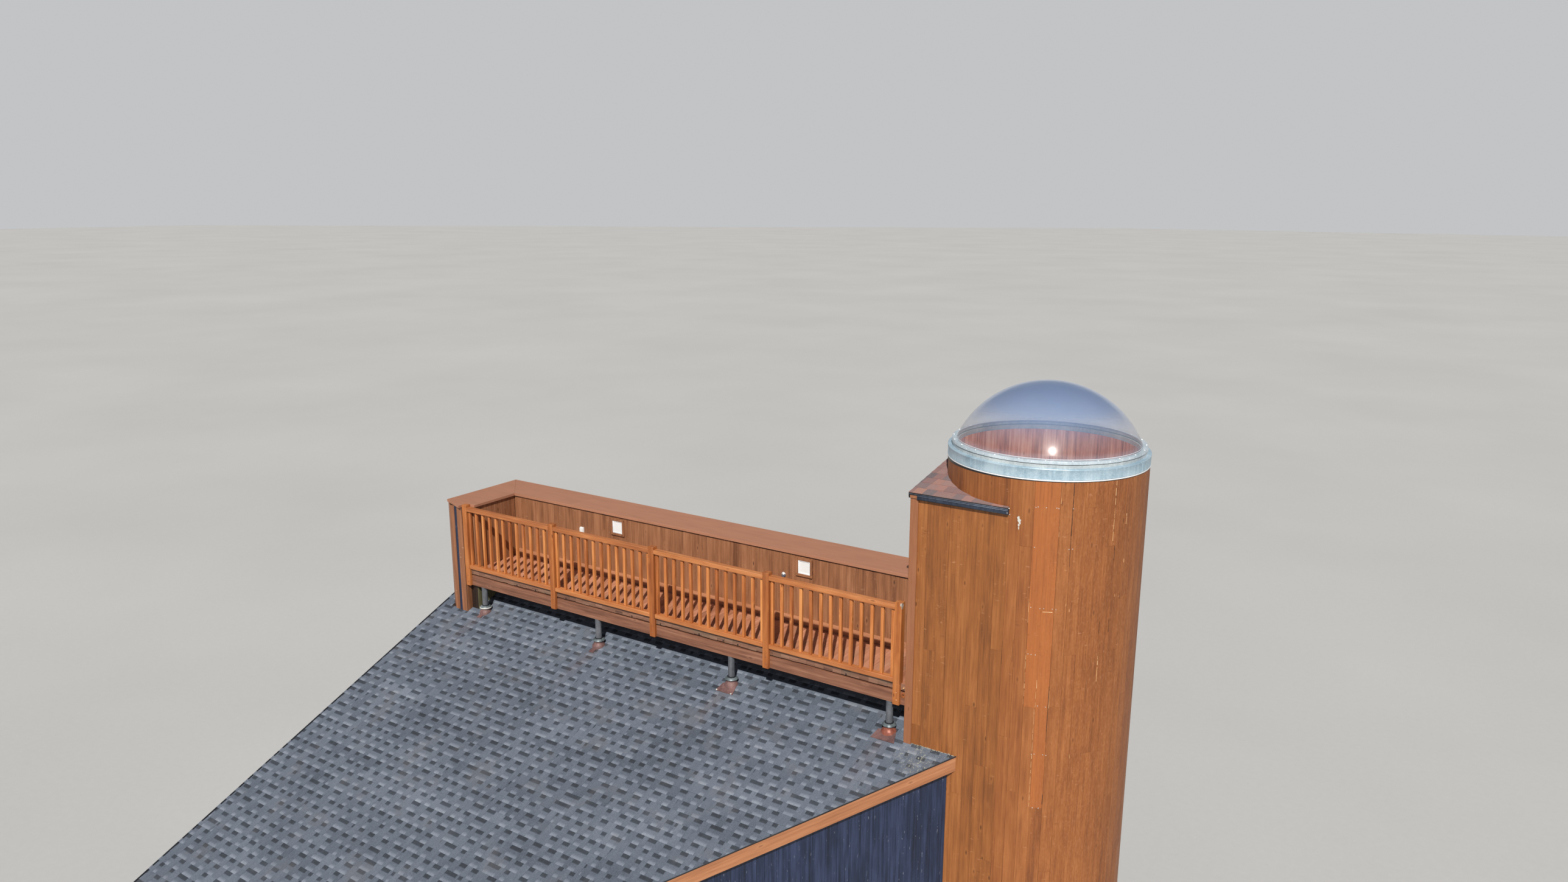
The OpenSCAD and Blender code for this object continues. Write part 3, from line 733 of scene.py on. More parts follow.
class Joinery:
    """Gathers many small solids into one mesh. Each of them carries its own tone."""

    sharp_from: float = math.radians(34.0)
    chamfered_from: float = math.radians(40.0)

    def __init__(self, seed: int) -> None:
        """Starts an empty mesh.

        Args:
            seed: The seed of its random numbers.
        """
        self.random = random.Random(seed)
        self.mesh = bmesh.new()
        self.tone = self.mesh.verts.layers.float_color.new("tone")

    def any_tone(self) -> Tone:
        """Draws a tone of aged wood."""
        return (self.random.random(), self.random.random(), 0.0)

    def _verts(self, points: list, tone: Tone | list) -> list:
        """Adds points.

        Args:
            points: Their places.
            tone: The tone that they carry, or one for each.

        Returns:
            The new vertices.
        """
        tones = tone if isinstance(tone, list) else [tone] * len(points)
        made = [self.mesh.verts.new(point) for point in points]
        for vert, own in zip(made, tones):
            vert[self.tone] = (*own, 1.0)
        return made

    def loft(self, first: list, second: list, finish: int = 0,
             tone: Tone | list | None = None) -> None:
        """Adds a solid between two outlines.

        Args:
            first: The points of one end.
            second: The points of the other end, in the same order.
            finish: The index of its material.
            tone: Its tone, or one for each point of an outline. It is drawn at random where
                none is given.
        """
        tone = tone or self.any_tone()
        a, b = self._verts(first, tone), self._verts(second, tone)
        sides = [(a[i - 1], a[i], b[i], b[i - 1]) for i in (*range(1, len(a)), 0)]
        for corners in (a[::-1], b, *sides):
            self.mesh.faces.new(corners).material_index = finish

    def plate(self, plan: list, low: Height, high: Height, finish: int = 0,
              tone: Tone | None = None) -> None:
        """Adds an upright solid on a plan."""
        self.loft(*([(x, y, height_at(z, y)) for x, y in plan] for z in (low, high)), finish, tone)

    def bar(self, low: Point, high: Point, finish: int = 0, tone: Tone | None = None) -> None:
        """Adds a squared piece between two corners."""
        (x0, y0, z0), (x1, y1, z1) = low, high
        self.plate([(x0, y0), (x1, y0), (x1, y1), (x0, y1)], z0, z1, finish, tone)

    def length(self, outline: list, x0: float, x1: float, finish: int = 0) -> None:
        """Adds a solid that runs along X, with its outline in Y and Z."""
        self.loft(*([(x, y, z) for y, z in outline] for x in (x0, x1)), finish)

    def beam(self, ends: list, finish: int = 0) -> None:
        """Adds a squared piece along Y. Each end is its Y, two places in X and two heights."""
        self.loft(*([(x0, y, z0), (x1, y, z0), (x1, y, z1), (x0, y, z1)]
                    for y, x0, x1, z0, z1 in ends), finish)

    def stave(self, plan: list, low: float, high: float, finish: int = 0,
              tone: Tone | None = None) -> None:
        """Adds an upright solid with its plan in angles and radii."""
        self.loft(*([PLAN.on_round(t, r, z) for t, r in plan] for z in (low, high)), finish, tone)

    def stud(self, centre: Point, towards: Point, radius: float, out: float, finish: int = 0,
             sides: int = 8) -> None:
        """Adds a small round head that stands out of a face.

        Args:
            centre: The middle of its foot.
            towards: The direction in which it stands out.
            radius: Its radius.
            out: How far it stands out.
            finish: The index of its material.
            sides: The number of its sides.
        """
        axis = Vector(towards).normalized()
        side = axis.orthogonal().normalized()
        other = axis.cross(side)
        turns = [2 * math.pi * i / sides for i in range(sides)]
        self.loft(*([tuple(Vector(centre) + axis * reach + radius * size * (
            side * math.cos(turn) + other * math.sin(turn))) for turn in turns]
            for reach, size in ((0.0, 1.0), (out, 0.72))), finish)

    def lathe(self, profile: list, steps: int, finish: int | list = 0,
              centre: tuple[float, float] = (0.0, 0.0)) -> None:
        """Turns a closed profile round an upright axis.

        Args:
            profile: Pairs of a radius and a height, in order round the profile.
            steps: The number of steps in a turn.
            finish: The index of its material, or one for each step of the profile.
            centre: The axis's place in plan.
        """
        tone = self.any_tone()
        turns = [2 * math.pi * i / steps for i in range(steps)]
        rings = []
        for radius, z in profile:
            if radius < 1e-6:
                rings.append(self._verts([(*centre, z)], tone) * steps)
            else:
                rings.append(self._verts([(centre[0] + radius * math.cos(turn),
                                           centre[1] + radius * math.sin(turn), z)
                                          for turn in turns], tone))
        indices = finish if isinstance(finish, list) else [finish] * len(rings)
        for k, (ring, index) in enumerate(zip(rings, indices)):
            following = rings[(k + 1) % len(rings)]
            for i in range(steps):
                j = (i + 1) % steps
                corners = list(dict.fromkeys((ring[i], ring[j], following[j], following[i])))
                if len(corners) > 2:
                    face = self.mesh.faces.new(corners)
                    face.material_index, face.smooth = index, True

    def build(self, name: str, finishes: list, slot: str, stands_for: tuple = (),
              bevel: float = 0.0) -> None:
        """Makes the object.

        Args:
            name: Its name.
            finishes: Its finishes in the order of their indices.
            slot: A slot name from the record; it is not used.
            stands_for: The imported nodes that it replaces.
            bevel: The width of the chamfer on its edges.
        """
        bmesh.ops.recalc_face_normals(self.mesh, faces=self.mesh.faces)
        data = bpy.data.meshes.new(name)
        self.mesh.to_mesh(data)
        self.mesh.free()
        data.set_sharp_from_angle(angle=self.sharp_from)
        made = into_scene(name, data)
        for finish in finishes:
            data.materials.append(Finishes.of(finish))
        if bevel:
            chamfer = made.modifiers.new("chamfer", "BEVEL")
            chamfer.width, chamfer.segments = bevel, 1
            chamfer.limit_method, chamfer.angle_limit = "ANGLE", self.chamfered_from
        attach(made, "root")
        if stands_for:
            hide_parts(*stands_for)
        LOG.info("%s: %d faces", name, len(data.polygons))


def dress(finish: object, *nodes: str) -> None:
    """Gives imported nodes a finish.

    Args:
        finish: The finish.
        nodes: The nodes' names.
    """
    for node in nodes:
        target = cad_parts[node]
        target.data.materials.clear()
        target.data.materials.append(Finishes.of(finish))
        for slot in target.material_slots:
            slot.material = Finishes.of(finish)
        LOG.info("%s: dressed with %s", node, finish.name)


@dataclass
class TowerShell:
    """The tower's round wall: a near-black core that paints the shade seen through the board
    joints, upright boards outside and a lining inside.
    """

    pitch: float = 360.0 / 53.0
    first: float = -90.0
    board: float = 0.010
    butt: float = 0.0007
    sectors: dict = field(default_factory=lambda: {
        "front": (-90.0, -45.0), "front_right": (-45.0, 0.0), "right": (0.0, 45.0),
        "back_right": (45.0, 90.0), "back": (90.0, 135.0), "back_left": (135.0, 180.0),
        "over_corner": (180.0, 270.0)})
    seen_cuts: dict = field(default_factory=lambda: {
        0: (8.19,), 1: (10.415, 7.55), 2: (8.59,), 3: (9.708, 7.39), 4: (8.612,), 5: (9.22,),
        6: (10.863, 7.42), 7: (8.04,), 8: (10.415, 8.036), 9: (9.209,), 10: (9.818, 7.42),
        11: (8.62,), 12: (9.21,)})
    fresh_above: dict = field(default_factory=lambda: {2: 8.59, 3: 7.39})
    nail_rows: tuple = (1.2, 1.8, 2.4, 3.0, 3.6, 4.2, 4.8, 5.4, 6.0, 6.6, 7.39, 8.04, 8.61, 9.21,
                        9.74, 10.415, 10.86)
    seen_nails: tuple = (
        (10.859, (-75.5, -74.4, -70.0, -64.6, -63.5, -55.8)), (10.415, (-75.1, -56.8, -54.9)),
        (9.741, (-75.3, -70.4, -68.4, -63.8, -61.8)), (9.209, (-75.4, -73.7, -71.4)),
        (8.614, (-68.6, -64.3)), (8.04, (-70.4, -68.9, -64.2, -62.4)), (7.393, (-68.2, -64.9)))
    cracks: tuple = (
        (-56.04, 10.56, 11.13, 0.42), (-56.04, 10.22, 10.56, 0.24), (-62.95, 8.2, 8.86, 0.3),
        (-62.95, 7.44, 7.56, 0.34), (-28.95, 10.25, 10.412, 0.4), (-29.3, 9.44, 9.59, 0.3),
        (-35.8, 9.44, 9.58, 0.22), (-84.0, 9.09, 9.35, 0.12), (-90.1, 9.04, 9.31, 0.12),
        (-21.9, 9.79, 9.86, 0.2))
    bare_edges: tuple = (
        (-76.5, 9.57, 9.84, 0.22), (-76.5, 8.62, 9.26, 0.24), (-69.85, 8.6, 8.92, 0.42),
        (-70.25, 7.4, 8.57, 0.26), (-62.55, 8.6, 8.82, 0.3), (-62.5, 10.91, 11.07, 0.24),
        (-62.6, 10.55, 10.66, 0.22), (-30.7, 10.47, 11.13, 0.3), (-35.4, 8.88, 9.18, 0.45),
        (-21.2, 10.63, 10.75, 0.5), (-54.6, 9.715, 9.745, 0.4), (-56.6, 9.78, 9.81, 0.4),
        (-26.3, 9.83, 9.86, 0.35), (-20.7, 10.2, 10.24, 0.3), (-49.0, 8.0, 8.05, 0.35))
    scar: tuple = ((-84.5, 10.722, 0.016, 0.024), (-84.0, 10.690, 0.022, 0.026),
                   (-83.7, 10.664, 0.012, 0.016), (-84.3, 10.642, 0.012, 0.020),
                   (-84.2, 10.610, 0.007, 0.022))

    def cuts(self, column: int, low: float) -> list:
        """Gives the heights where a column of boards is jointed.

        Args:
            column: The column's index.
            low: The height of its foot.

        Returns:
            The heights, lowest first, with the foot and the top.
        """
        chance = random.Random(900 + column)
        heights = list(self.seen_cuts.get(column, ()))
        z = 0.6 + 0.6 * chance.randrange(1, 6)
        limit = 6.9 if heights else 10.6
        while z < limit:
            heights.append(z)
            z += 0.6 * chance.randrange(3, 7)
        return sorted({low, *[h for h in heights if h > low + 0.2], PLAN.wall_top})

    def gap(self, column: int) -> float:
        """Gives half the width of a column's left joint in degrees, mostly tight."""
        return 0.008 + 0.065 * random.Random(700 + column % 53).random() ** 2.2

    def boards(self, work: Joinery, start: float, end: float, low: float) -> None:
        """Adds the outer boards of one sector.

        Args:
            work: The mesh that they go into.
            start: The sector's first angle.
            end: The sector's last angle.
            low: The height of their feet.
        """
        column = math.floor((start - self.first) / self.pitch)
        while self.first + column * self.pitch < end:
            left = self.first + column * self.pitch
            chance = random.Random(500 + column)
            a = max(left + self.gap(column), start)
            b = min(left + self.pitch - self.gap(column + 1), end)
            heights = self.cuts(column, low) if b - a >= 0.3 else []
            for z0, z1 in zip(heights, heights[1:]):
                new = z0 >= self.fresh_above.get(column, 99.0) - 0.01
                tone = (chance.random(), chance.random(), 0.85 if new else 0.0)
                inner = PLAN.radius - self.board
                outer = PLAN.radius + (0.0 if new else -0.0012 * chance.random())
                work.stave([(a, inner), (a, outer), (b, outer), (b, inner)],
                           z0 + self.butt, z1 - self.butt, 0, tone)
            column += 1

    def staves(self, work: Joinery, span: tuple, step: float, trim: float, radii: tuple,
               heights: tuple, finish: int) -> None:
        """Adds equal staves round one sector.

        Args:
            work: The mesh that they go into.
            span: The sector's first and last angle.
            step: The angle from one stave to the next.
            trim: Half the joint between two staves in degrees.
            radii: Their inner and outer radius.
            heights: The heights of their feet and heads.
            finish: The index of their material.
        """
        for i in range(round((span[1] - span[0]) / step)):
            a, b = span[0] + i * step + trim, span[0] + (i + 1) * step - trim
            work.stave([(a, radii[0]), (b, radii[0]), (b, radii[1]), (a, radii[1])],
                       *heights, finish)

    def build(self) -> None:
        """Builds the seven sectors and what is fixed to their face."""
        for number, (name, span) in enumerate(self.sectors.items()):
            work = Joinery(100 + number)
            low = 10.76 if name == "over_corner" else 0.0
            # Core staves take index 1, near-black: painted shade seen through the board joints.
            core = (PLAN.inner + 0.007, PLAN.radius - self.board + 0.002)
            self.staves(work, span, 5.0, 0.0, core, (low, PLAN.wall_top - 0.001), 1)
            self.boards(work, *span, low)
            self.staves(work, span, 7.5, 0.03, (PLAN.inner, PLAN.inner + 0.008),
                        (low, PLAN.wall_top), 2)
            work.build("tower_boards_" + name,
                       [Finishes.tower_boards, Finishes.painted_gap_shade, Finishes.lining],
                       "orange_boards", ("tower_wall_" + name,), 0.0005)
        self.nails()
        self.slivers()

    def nails(self) -> None:
        """Adds the rows of nail heads."""
        work = Joinery(140)
        chance = work.random
        for column in range(40):
            left = self.first + column * self.pitch
            for z in self.nail_rows:
                for share in (0.14, 0.84):
                    if chance.random() <= 0.3:
                        turn = left + self.pitch * (share + chance.uniform(-0.05, 0.05))
                        self.head(work, turn, z + chance.uniform(-0.02, 0.02),
                                  chance.uniform(0.0022, 0.0036), 1)
        for z, turns in self.seen_nails:
            for turn in turns:
                self.head(work, turn, z + chance.uniform(-0.004, 0.004), 0.006)
        work.build("tower_nails", [Finishes.screw_metal, Finishes.rusty_nail], "galvanised_metal")

    def head(self, work: Joinery, turn: float, z: float, size: float, finish: int = 0) -> None:
        """Adds one nail head to the round wall."""
        work.stud(PLAN.on_round(turn, PLAN.radius - 0.002, z), PLAN.on_round(turn, 1.0, 0.0),
                  size, 0.0035, finish, 7)

    def strip(self, work: Joinery, turn: float, heights: tuple, width: float, finish: int,
              proud: float) -> None:
        """Adds an upright strip on the round wall, tapering upwards.

        Args:
            work: The mesh that it goes into.
            turn: Its angle.
            heights: The heights of its foot and head.
            width: Its width in degrees.
            finish: The index of its material.
            proud: How far it stands out of the boards.
        """
        section = ((-1, -0.006), (-1, proud), (1, proud), (1, -0.006))
        work.loft(*([PLAN.on_round(turn + side * width * share, PLAN.radius + out, z)
                     for side, out in section] for z, share in zip(heights, (0.5, 0.3))), finish)

    def slivers(self) -> None:
        """Adds the splits along board edges, as near-black strips that paint the shade inside them,
        and the pale scar near the corner roof.
        """
        work = Joinery(141)
        chance = work.random
        # Splits take index 2, near-black: painted shade inside each split.
        for rows, least, steps, sway, widths, finish, proud, rest in (
                (self.cracks, 0.01, (0.06, 0.16), 0.04, (0.75, 1.15), 2, 0.0008, 0.0),
                (self.bare_edges, 0.015, (0.04, 0.12), 0.08, (0.4, 1.0), 0, 0.0012, 0.045)):
            for turn, z, high, width in rows:
                while z < high - least:
                    top = min(z + chance.uniform(*steps), high)
                    self.strip(work, turn + chance.uniform(-sway, sway), (z, top),
                               width * chance.uniform(*widths), finish, proud)
                    z = top + (chance.uniform(0.0, rest) if rest else 0.0)
        section = ((-0.006, -0.003), (0.0012, -0.003), (0.0012, 0.003), (-0.006, 0.003))
        work.loft(*([PLAN.on_round(turn, PLAN.radius + out, 9.706 + up) for out, up in section]
                    for turn in (-69.0, -63.6)))
        for turn, z, wide, tall in self.scar:
            flake = []
            for i in range(13):
                reach, step = chance.uniform(0.55, 1.0), 2 * math.pi * i / 13
                flake.append((turn + math.degrees(wide * reach * math.cos(step) / PLAN.radius),
                              z + tall * reach * math.sin(step)))
            work.loft(*([PLAN.on_round(t, PLAN.radius + out, h) for t, h in flake]
                        for out in (-0.004, 0.001)), 1)
        work.build("tower_splits", [Finishes.raw_wood, Finishes.caulk, Finishes.painted_gap_shade],
                   "plain_wood")


@dataclass
class EntryCorner:
    """The tower's squared corner: its boards, shingled roof, corner board and door."""

    pitch: float = 0.1342
    wall: float = 0.110
    board: float = 0.010
    butt: float = 0.0007
    deck_line: float = 8.2
    door: tuple = (-0.975, -0.255, 8.470, 10.450)
    exposure: float = 0.146
    round_face: float = 1.075
    eave: float = PLAN.front_y - 0.030
    left: float = PLAN.side_x - 0.030
    cuts: dict = field(default_factory=lambda: {
        0: (9.183, 6.6), 1: (7.754,), 2: (8.443,), 3: (7.32,), 4: (5.4,), 5: (6.6,),
        6: (8.993, 6.0), 7: (8.03,), 8: (9.82,)})

    def under(self, y: float) -> float:
        """Gives the height of the roof's underside."""
        return PLAN.corner(y) - PLAN.corner_roof

    def front(self) -> None:
        """Builds the flat front face."""
        work = Joinery(200)
        y0, y1 = PLAN.front_y, PLAN.front_y + self.wall
        # The core behind the boards takes index 1, near-black: painted shade in the board joints.
        work.length([(y0 + 0.009, 0.0), (y1 - 0.007, 0.0), (y1 - 0.007, self.under(y1)),
                     (y0 + 0.009, self.under(y0))], PLAN.side_x, -0.0005, 1)
        for column in range(9):
            x1 = -0.0012 - column * self.pitch
            x0 = max(x1 - self.pitch + 0.0006 + 0.0026 * work.random.random() ** 2.2,
                     PLAN.side_x + 0.002)
            heights = sorted({0.0, *self.cuts[column], 3.0 + 0.6 * (column % 3), self.under(y0)})
            for z0, z1 in zip(heights, heights[1:]):
                back = 0.0015 * work.random.random()
                work.bar((x0, y0 + back, z0 + self.butt), (x1, y0 + self.board, z1 - self.butt))
        for i in range(7):
            x0 = -1.024 + i * 0.1463
            work.bar((x0, y1 - 0.008, 8.0), (x0 + 0.143, y1, self.under(y1)), 2)
        work.build("corner_front_boards",
                   [Finishes.corner_boards, Finishes.painted_gap_shade, Finishes.lining],
                   "orange_boards", ("corner_front_wall",), 0.0005)

    def side(self) -> None:
        """Builds the side wall with its doorway."""
        work = Joinery(201)
        x0, x1 = PLAN.side_x, PLAN.side_x + self.wall
        near, far, sill, head = self.door
        start, end = PLAN.front_y + self.wall, 0.0
        # The core behind the boards takes index 1, near-black: painted shade in the board joints.
        for a, b, low, high in ((start, end, 0.0, sill), (start, near, sill, None),
                                (far, end, sill, None), (near, far, head, None)):
            work.length([(a, low), (b, low), (b, high or self.under(b)),
                         (a, high or self.under(a))], x0 + 0.009, x1 - 0.008, 1)
        y = start
        while y < end - 0.01:
            y1 = min(y + self.pitch - 0.0022, end)
            over_door = y < far and y1 > near
            if over_door and y < near - 0.004:
                work.bar((x0, y, self.deck_line), (x0 + self.board, near, head - 0.002))
            if over_door and y1 > far + 0.004:
                work.bar((x0, far, self.deck_line), (x0 + self.board, y1, head - 0.002))
            low = head if over_door else self.deck_line
            work.length([(y, low), (y1, low), (y1, self.under(y1)), (y, self.under(y))],
                        x0, x0 + self.board)
            y += self.pitch
        for a, b, low, high in ((start, near, self.deck_line, head),
                                (far, end, self.deck_line, head),
                                (start, end, head, self.under(start))):
            steps = max(1, round((b - a) / 0.14))
            for i in range(steps):
                work.bar((x1 - 0.009, a + (b - a) * i / steps, low),
                         (x1, a + (b - a) * (i + 1) / steps - 0.003, high), 2)
        work.build("corner_side_boards",
                   [Finishes.corner_boards, Finishes.painted_gap_shade, Finishes.lining],
                   "orange_boards", ("corner_side_wall",), 0.0012)

    def at(self, x: float, s: float, h: float) -> Point:
        """Gives the point at a distance up the slope and a height above it."""
        return PLAN.on_slope((x, s, h), (self.eave, PLAN.corner(self.eave)), PLAN.corner_slope)

    def reach(self, x: float) -> float:
        """Gives how far back the round wall's face lies, as a place along Y."""
        return -math.sqrt(max(self.round_face ** 2 - x * x, 0.0))

    def shingles(self) -> None:
        """Builds the shingles, cut round the tower."""
        # The slab under the shingles is near-black: painted shade between the shingles.
        dress(Finishes.painted_gap_shade, "corner_roof")
        work = Joinery(202)
        cos = math.cos(math.atan(PLAN.corner_slope))
        for course in range(9):
            s0 = 0.001 + course * self.exposure
            s1 = s0 + self.exposure + 0.02
            y0 = self.eave + s0 * cos
            end = self.reach(y0) if -self.round_face < y0 < 0.0 else -0.004
            end = -self.round_face if y0 >= 0.0 else end
            x = self.left - work.random.uniform(0.0, 0.1)
            while x < end - 0.002:
                wide = work.random.uniform(0.098, 0.13)
                a, b = max(x, self.left), min(x + wide - 0.001, end)
                steps = max(1, math.ceil((b - a) / 0.02))
                outline = [(a, s0), (b, s0)]
                for i in range(steps + 1):
                    across = b + (a - b) * i / steps
                    top = (self.reach(across) - self.eave) / cos
                    outline.append((across, max(min(s1, top) if across > -self.round_face else s1,
                                                s0 + 0.001)))
                work.loft([self.at(c, s, 0.0) for c, s in outline],
                          [self.at(c, s, 0.0078 * (1.0 - (s - s0) / (s1 - s0)) + 0.0012)
                           for c, s in outline])
                x += wide
        work.build("corner_shingles", [Finishes.brown_shingles], "brown_shingles")

    def drip_edge(self) -> None:
        """Builds the metal edges of the corner roof and their fixings, with a thin grey bar that is
        a painted highlight under the drip edge.
        """
        edge = Joinery(203)
        y, left = self.eave, self.left
        for low, high, finish in (
                ((left, y - 0.0035, 10.8065), (-0.002, y, 10.817), 0),
                # Painted highlight: the thin grey bar along the drip edge's lower fold.
                ((left + 0.004, y - 0.0025, 10.8005), (-0.004, y, 10.8055), 1),
                ((left, y - 0.003, 10.7885), (-1.066, y, 10.7995), 0),
                ((PLAN.side_x - 0.012, y - 0.001, 10.7545), (-1.064, PLAN.front_y, 10.7875), 3),
                ((-1.063, y - 0.004, 10.744), (0.002, PLAN.front_y, 10.7995), 4),
                ((-1.063, y - 0.006, 10.744), (0.002, y, 10.7505), 0),
                ((-1.059, y - 0.010, 10.7865), (-0.004, y - 0.003, 10.7915), 1)):
            edge.bar(low, high, finish)
        edge.beam([(y0, left - 0.003, left, PLAN.corner(y0) - 0.045, PLAN.corner(y0) + 0.003)
                   for y0 in (y, 0.0)])
        edge.stud((-0.008, y - 0.004, 10.764), (0.2, -1.0, 0.0), 0.006, 0.003, 2, 7)
        edge.stud((0.004, y + 0.012, 10.812), (0.6, -1.0, 0.3), 0.009, 0.01, 2, 6)
        edge.stud((0.012, y + 0.022, 10.742), (0.6, -1.0, 0.0), 0.006, 0.004, 2, 6)
        edge.build("corner_drip_edge", [Finishes.black_metal, Finishes.grey_metal, Finishes.caulk,
                                        Finishes.pink_upright, Finishes.navy_metal],
                   "black_pipe", (), 0.001)

    def doorway(self) -> None:
        """Builds the planked door and dresses its frame."""
        dress(Finishes.wall_boards, "door_frame")
        low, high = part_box("door_leaf")
        work = Joinery(204)
        planks = 5
        wide = (high.y - low.y) / planks
        for i in range(planks):
            work.bar((low.x, low.y + i * wide + 0.001, low.z),
                     (high.x, low.y + (i + 1) * wide - 0.001, high.z))
        for z in (low.z + 0.2, low.z + 0.95, high.z - 0.3):
            work.bar((low.x - 0.014, low.y + 0.02, z), (low.x + 0.001, high.y - 0.02, z + 0.11))
        x, y, z = low.x - 0.014, high.y - 0.06, low.z + 1.06
        work.stud((x, y, z), (-1.0, 0.0, 0.0), 0.026, 0.008, 1, 16)
        work.stud((x - 0.006, y, z), (-1.0, 0.0, 0.0), 0.011, 0.04, 1, 12)
        work.bar((x - 0.05, y - 0.11, z - 0.009), (x - 0.036, y + 0.012, z + 0.009), 1)
        work.build("plank_door", [Finishes.wall_boards, Finishes.screw_metal], "brown_boards",
                   ("door_leaf",), 0.002)

    def corner_board(self) -> None:
        """Builds the two legs of the corner board, each in three lengths."""
        work = Joinery(205)
        left, front = PLAN.side_x - 0.013, PLAN.front_y - 0.019
        for x1, y0, y1 in ((-1.053, front, PLAN.front_y),
                           (PLAN.side_x, PLAN.front_y + 0.0005, -1.016)):
            foot = PLAN.roof(y0) + 0.004
            for z0, z1 in ((0.0, 4.2), (4.202, foot), (foot + 0.0005, 10.7535)):
                work.bar((left, y0, z0), (x1, y1, z1))
        work.build("corner_board_legs", [Finishes.pink_upright], "pink_brown_boards",
                   ("corner_board",), 0.002)

    def build(self) -> None:
        """Builds the whole corner."""
        self.front()
        self.side()
        self.shingles()
        self.drip_edge()
        self.doorway()
        self.corner_board()
        dress(Finishes.floor_wood, "landing_floor")


@dataclass
class DomeTop:
    """The metal band, the curb, the clamp ring and the clear dome."""

    steps: int = 144
    seams: tuple = (-67.0, -38.5, -8.0, 24.0, 61.0, 98.0, 132.0, 171.0, 209.0, 243.0)
    screws: int = 24
    foot: float = 11.350
    dome_radius: float = 1.025
    rise: float = 0.670
    sheet: float = 0.008
    arc_steps: int = 26
    band_top: float = PLAN.wall_top + 0.015
    band_face: tuple = (
        (1.005, -0.014), (1.005, 0.0), (1.108, 0.0), (1.114, -0.0015), (1.1185, -0.0005),
        (1.1208, -0.0035), (1.1213, -0.008), (1.1205, -0.013), (1.1185, -0.017), (1.1182, -0.108),
        (1.1195, -0.113), (1.1158, -0.116), (1.1152, -0.014))
    band_lip: tuple = ((1.1190, -0.1165), (1.1211, -0.1205), (1.1213, -0.126), (1.1205, -0.129),
                       (1.1160, -0.129), (1.1155, -0.1175))
    clamp: tuple = (
        (1.0255, 0.0), (1.0795, 0.0), (1.0800, 0.006), (1.0780, 0.012), (1.0775, 0.024),
        (1.0750, 0.031), (1.0700, 0.032), (1.0480, 0.030), (1.0440, 0.032), (1.0300, 0.032),
        (1.0255, 0.029))

    def band(self) -> None:
        """Builds the folded metal band, with a black strip under its lip that is a painted shadow,
        deepest on the side turned from the sun.
        """
        work = Joinery(300)
        top = self.band_top
        # The lip takes index 1, pale: a painted highlight along the lip.
        for finish, profile in enumerate((self.band_face, self.band_lip)):
            work.lathe([(r, top + h) for r, h in profile], self.steps, finish)
        for seam in self.seams:
            for a, b, out in ((-0.5, 0.5, 1.1203), (-0.62, -0.5, 1.1195)):
                work.stave([(seam + a, 1.117), (seam + b, 1.117), (seam + b, out), (seam + a, out)],
                           top - 0.112, top - 0.018)
        # Painted shadow: a black strip under the lip, deepest at 155 degrees, on the side turned
        # from the sun.
        rings = []
        for i in range(self.steps):
            turn = i * 360.0 / self.steps
            low = top - 0.136 - 0.013 * (1.0 - math.cos(math.radians(turn + 25.0))) ** 1.6
            rings.append([PLAN.on_round(turn, r, z) for r, z in (
                (1.1140, low), (1.1162, low), (1.1162, top - 0.128), (1.1140, top - 0.128))])
        for first, second in zip(rings, rings[1:] + rings[:1]):
            work.loft(first, second, 2)
        work.build("metal_band_folded", [Finishes.galvanised, Finishes.pale_metal_painted_highlight,
                                         Finishes.black_metal],
                   "galvanised_metal", ("metal_band",))

    def ring(self) -> None:
        """Builds the clamp ring and its screws."""
        work = Joinery(301)
        low = self.foot - 0.032
        work.lathe([(r, low + h) for r, h in self.clamp], self.steps)
        for i in range(self.screws):
            turn = -87.0 + i * 360.0 / self.screws
            work.stud(PLAN.on_round(turn, 1.060, low + 0.030), (0.0, 0.0, 1.0), 0.009, 0.006, 1)
            turn += 7.5
            work.stud(PLAN.on_round(turn, 1.0778, low + 0.017), PLAN.on_round(turn, 1.0, 0),
                      0.005, 0.002, 1, 6)
        work.build("clamp_ring_screwed", [Finishes.clamp_metal, Finishes.pale_metal_painted_highlight],
                   "aluminium_trim", ("clamp_ring",))

    def arc(self, radius: float, rise: float) -> list:
        """Gives a cap's profile.

        Args:
            radius: The cap's radius at its foot.
            rise: Its height.

        Returns:
            Pairs of a radius and a height, from the foot to the top.
        """
        ball = (radius ** 2 + rise ** 2) / (2.0 * rise)
        turns = [math.asin(min(radius / ball, 1.0)) * (1.0 - i / self.arc_steps)
                 for i in range(self.arc_steps + 1)]
        return [(ball * math.sin(turn), self.foot + rise - ball + ball * math.cos(turn))
                for turn in turns]

    def dome(self) -> None:
        """Builds the clear dome with its flange and a pale ring at its foot, a painted highlight
        along the dome's edge.
        """
        work = Joinery(302)
        outer = self.arc(self.dome_radius, self.rise)
        inner = self.arc(self.dome_radius - self.sheet, self.rise - self.sheet)[::-1]
        flange = [(1.017, self.foot - 0.040), (1.073, self.foot - 0.040),
                  (1.073, self.foot - 0.0322), (1.025, self.foot - 0.0322)]
        inside = len(inner) + len(flange) + 1
        work.lathe(outer + inner + flange, self.steps, [0] * self.arc_steps + [2] * inside)
        # Painted highlight: a pale ring that stands for the bright line of light along the dome's
        # foot.
        rim = self.foot + 0.002
        work.lathe([(1.0225, rim), (1.0250, rim + 0.002), (1.0235, rim + 0.008),
                    (1.0205, rim + 0.006)], self.steps, 1)
        work.build("clear_dome_shell", [Finishes.clear_sheet, Finishes.clear_edge,
                                        Finishes.clear_inside], "clear_sheet", ("clear_dome",))

    def build(self) -> None:
        """Builds the whole top."""
        self.band()
        self.ring()
        self.dome()
        dress(Finishes.curb_metal, "dome_curb")


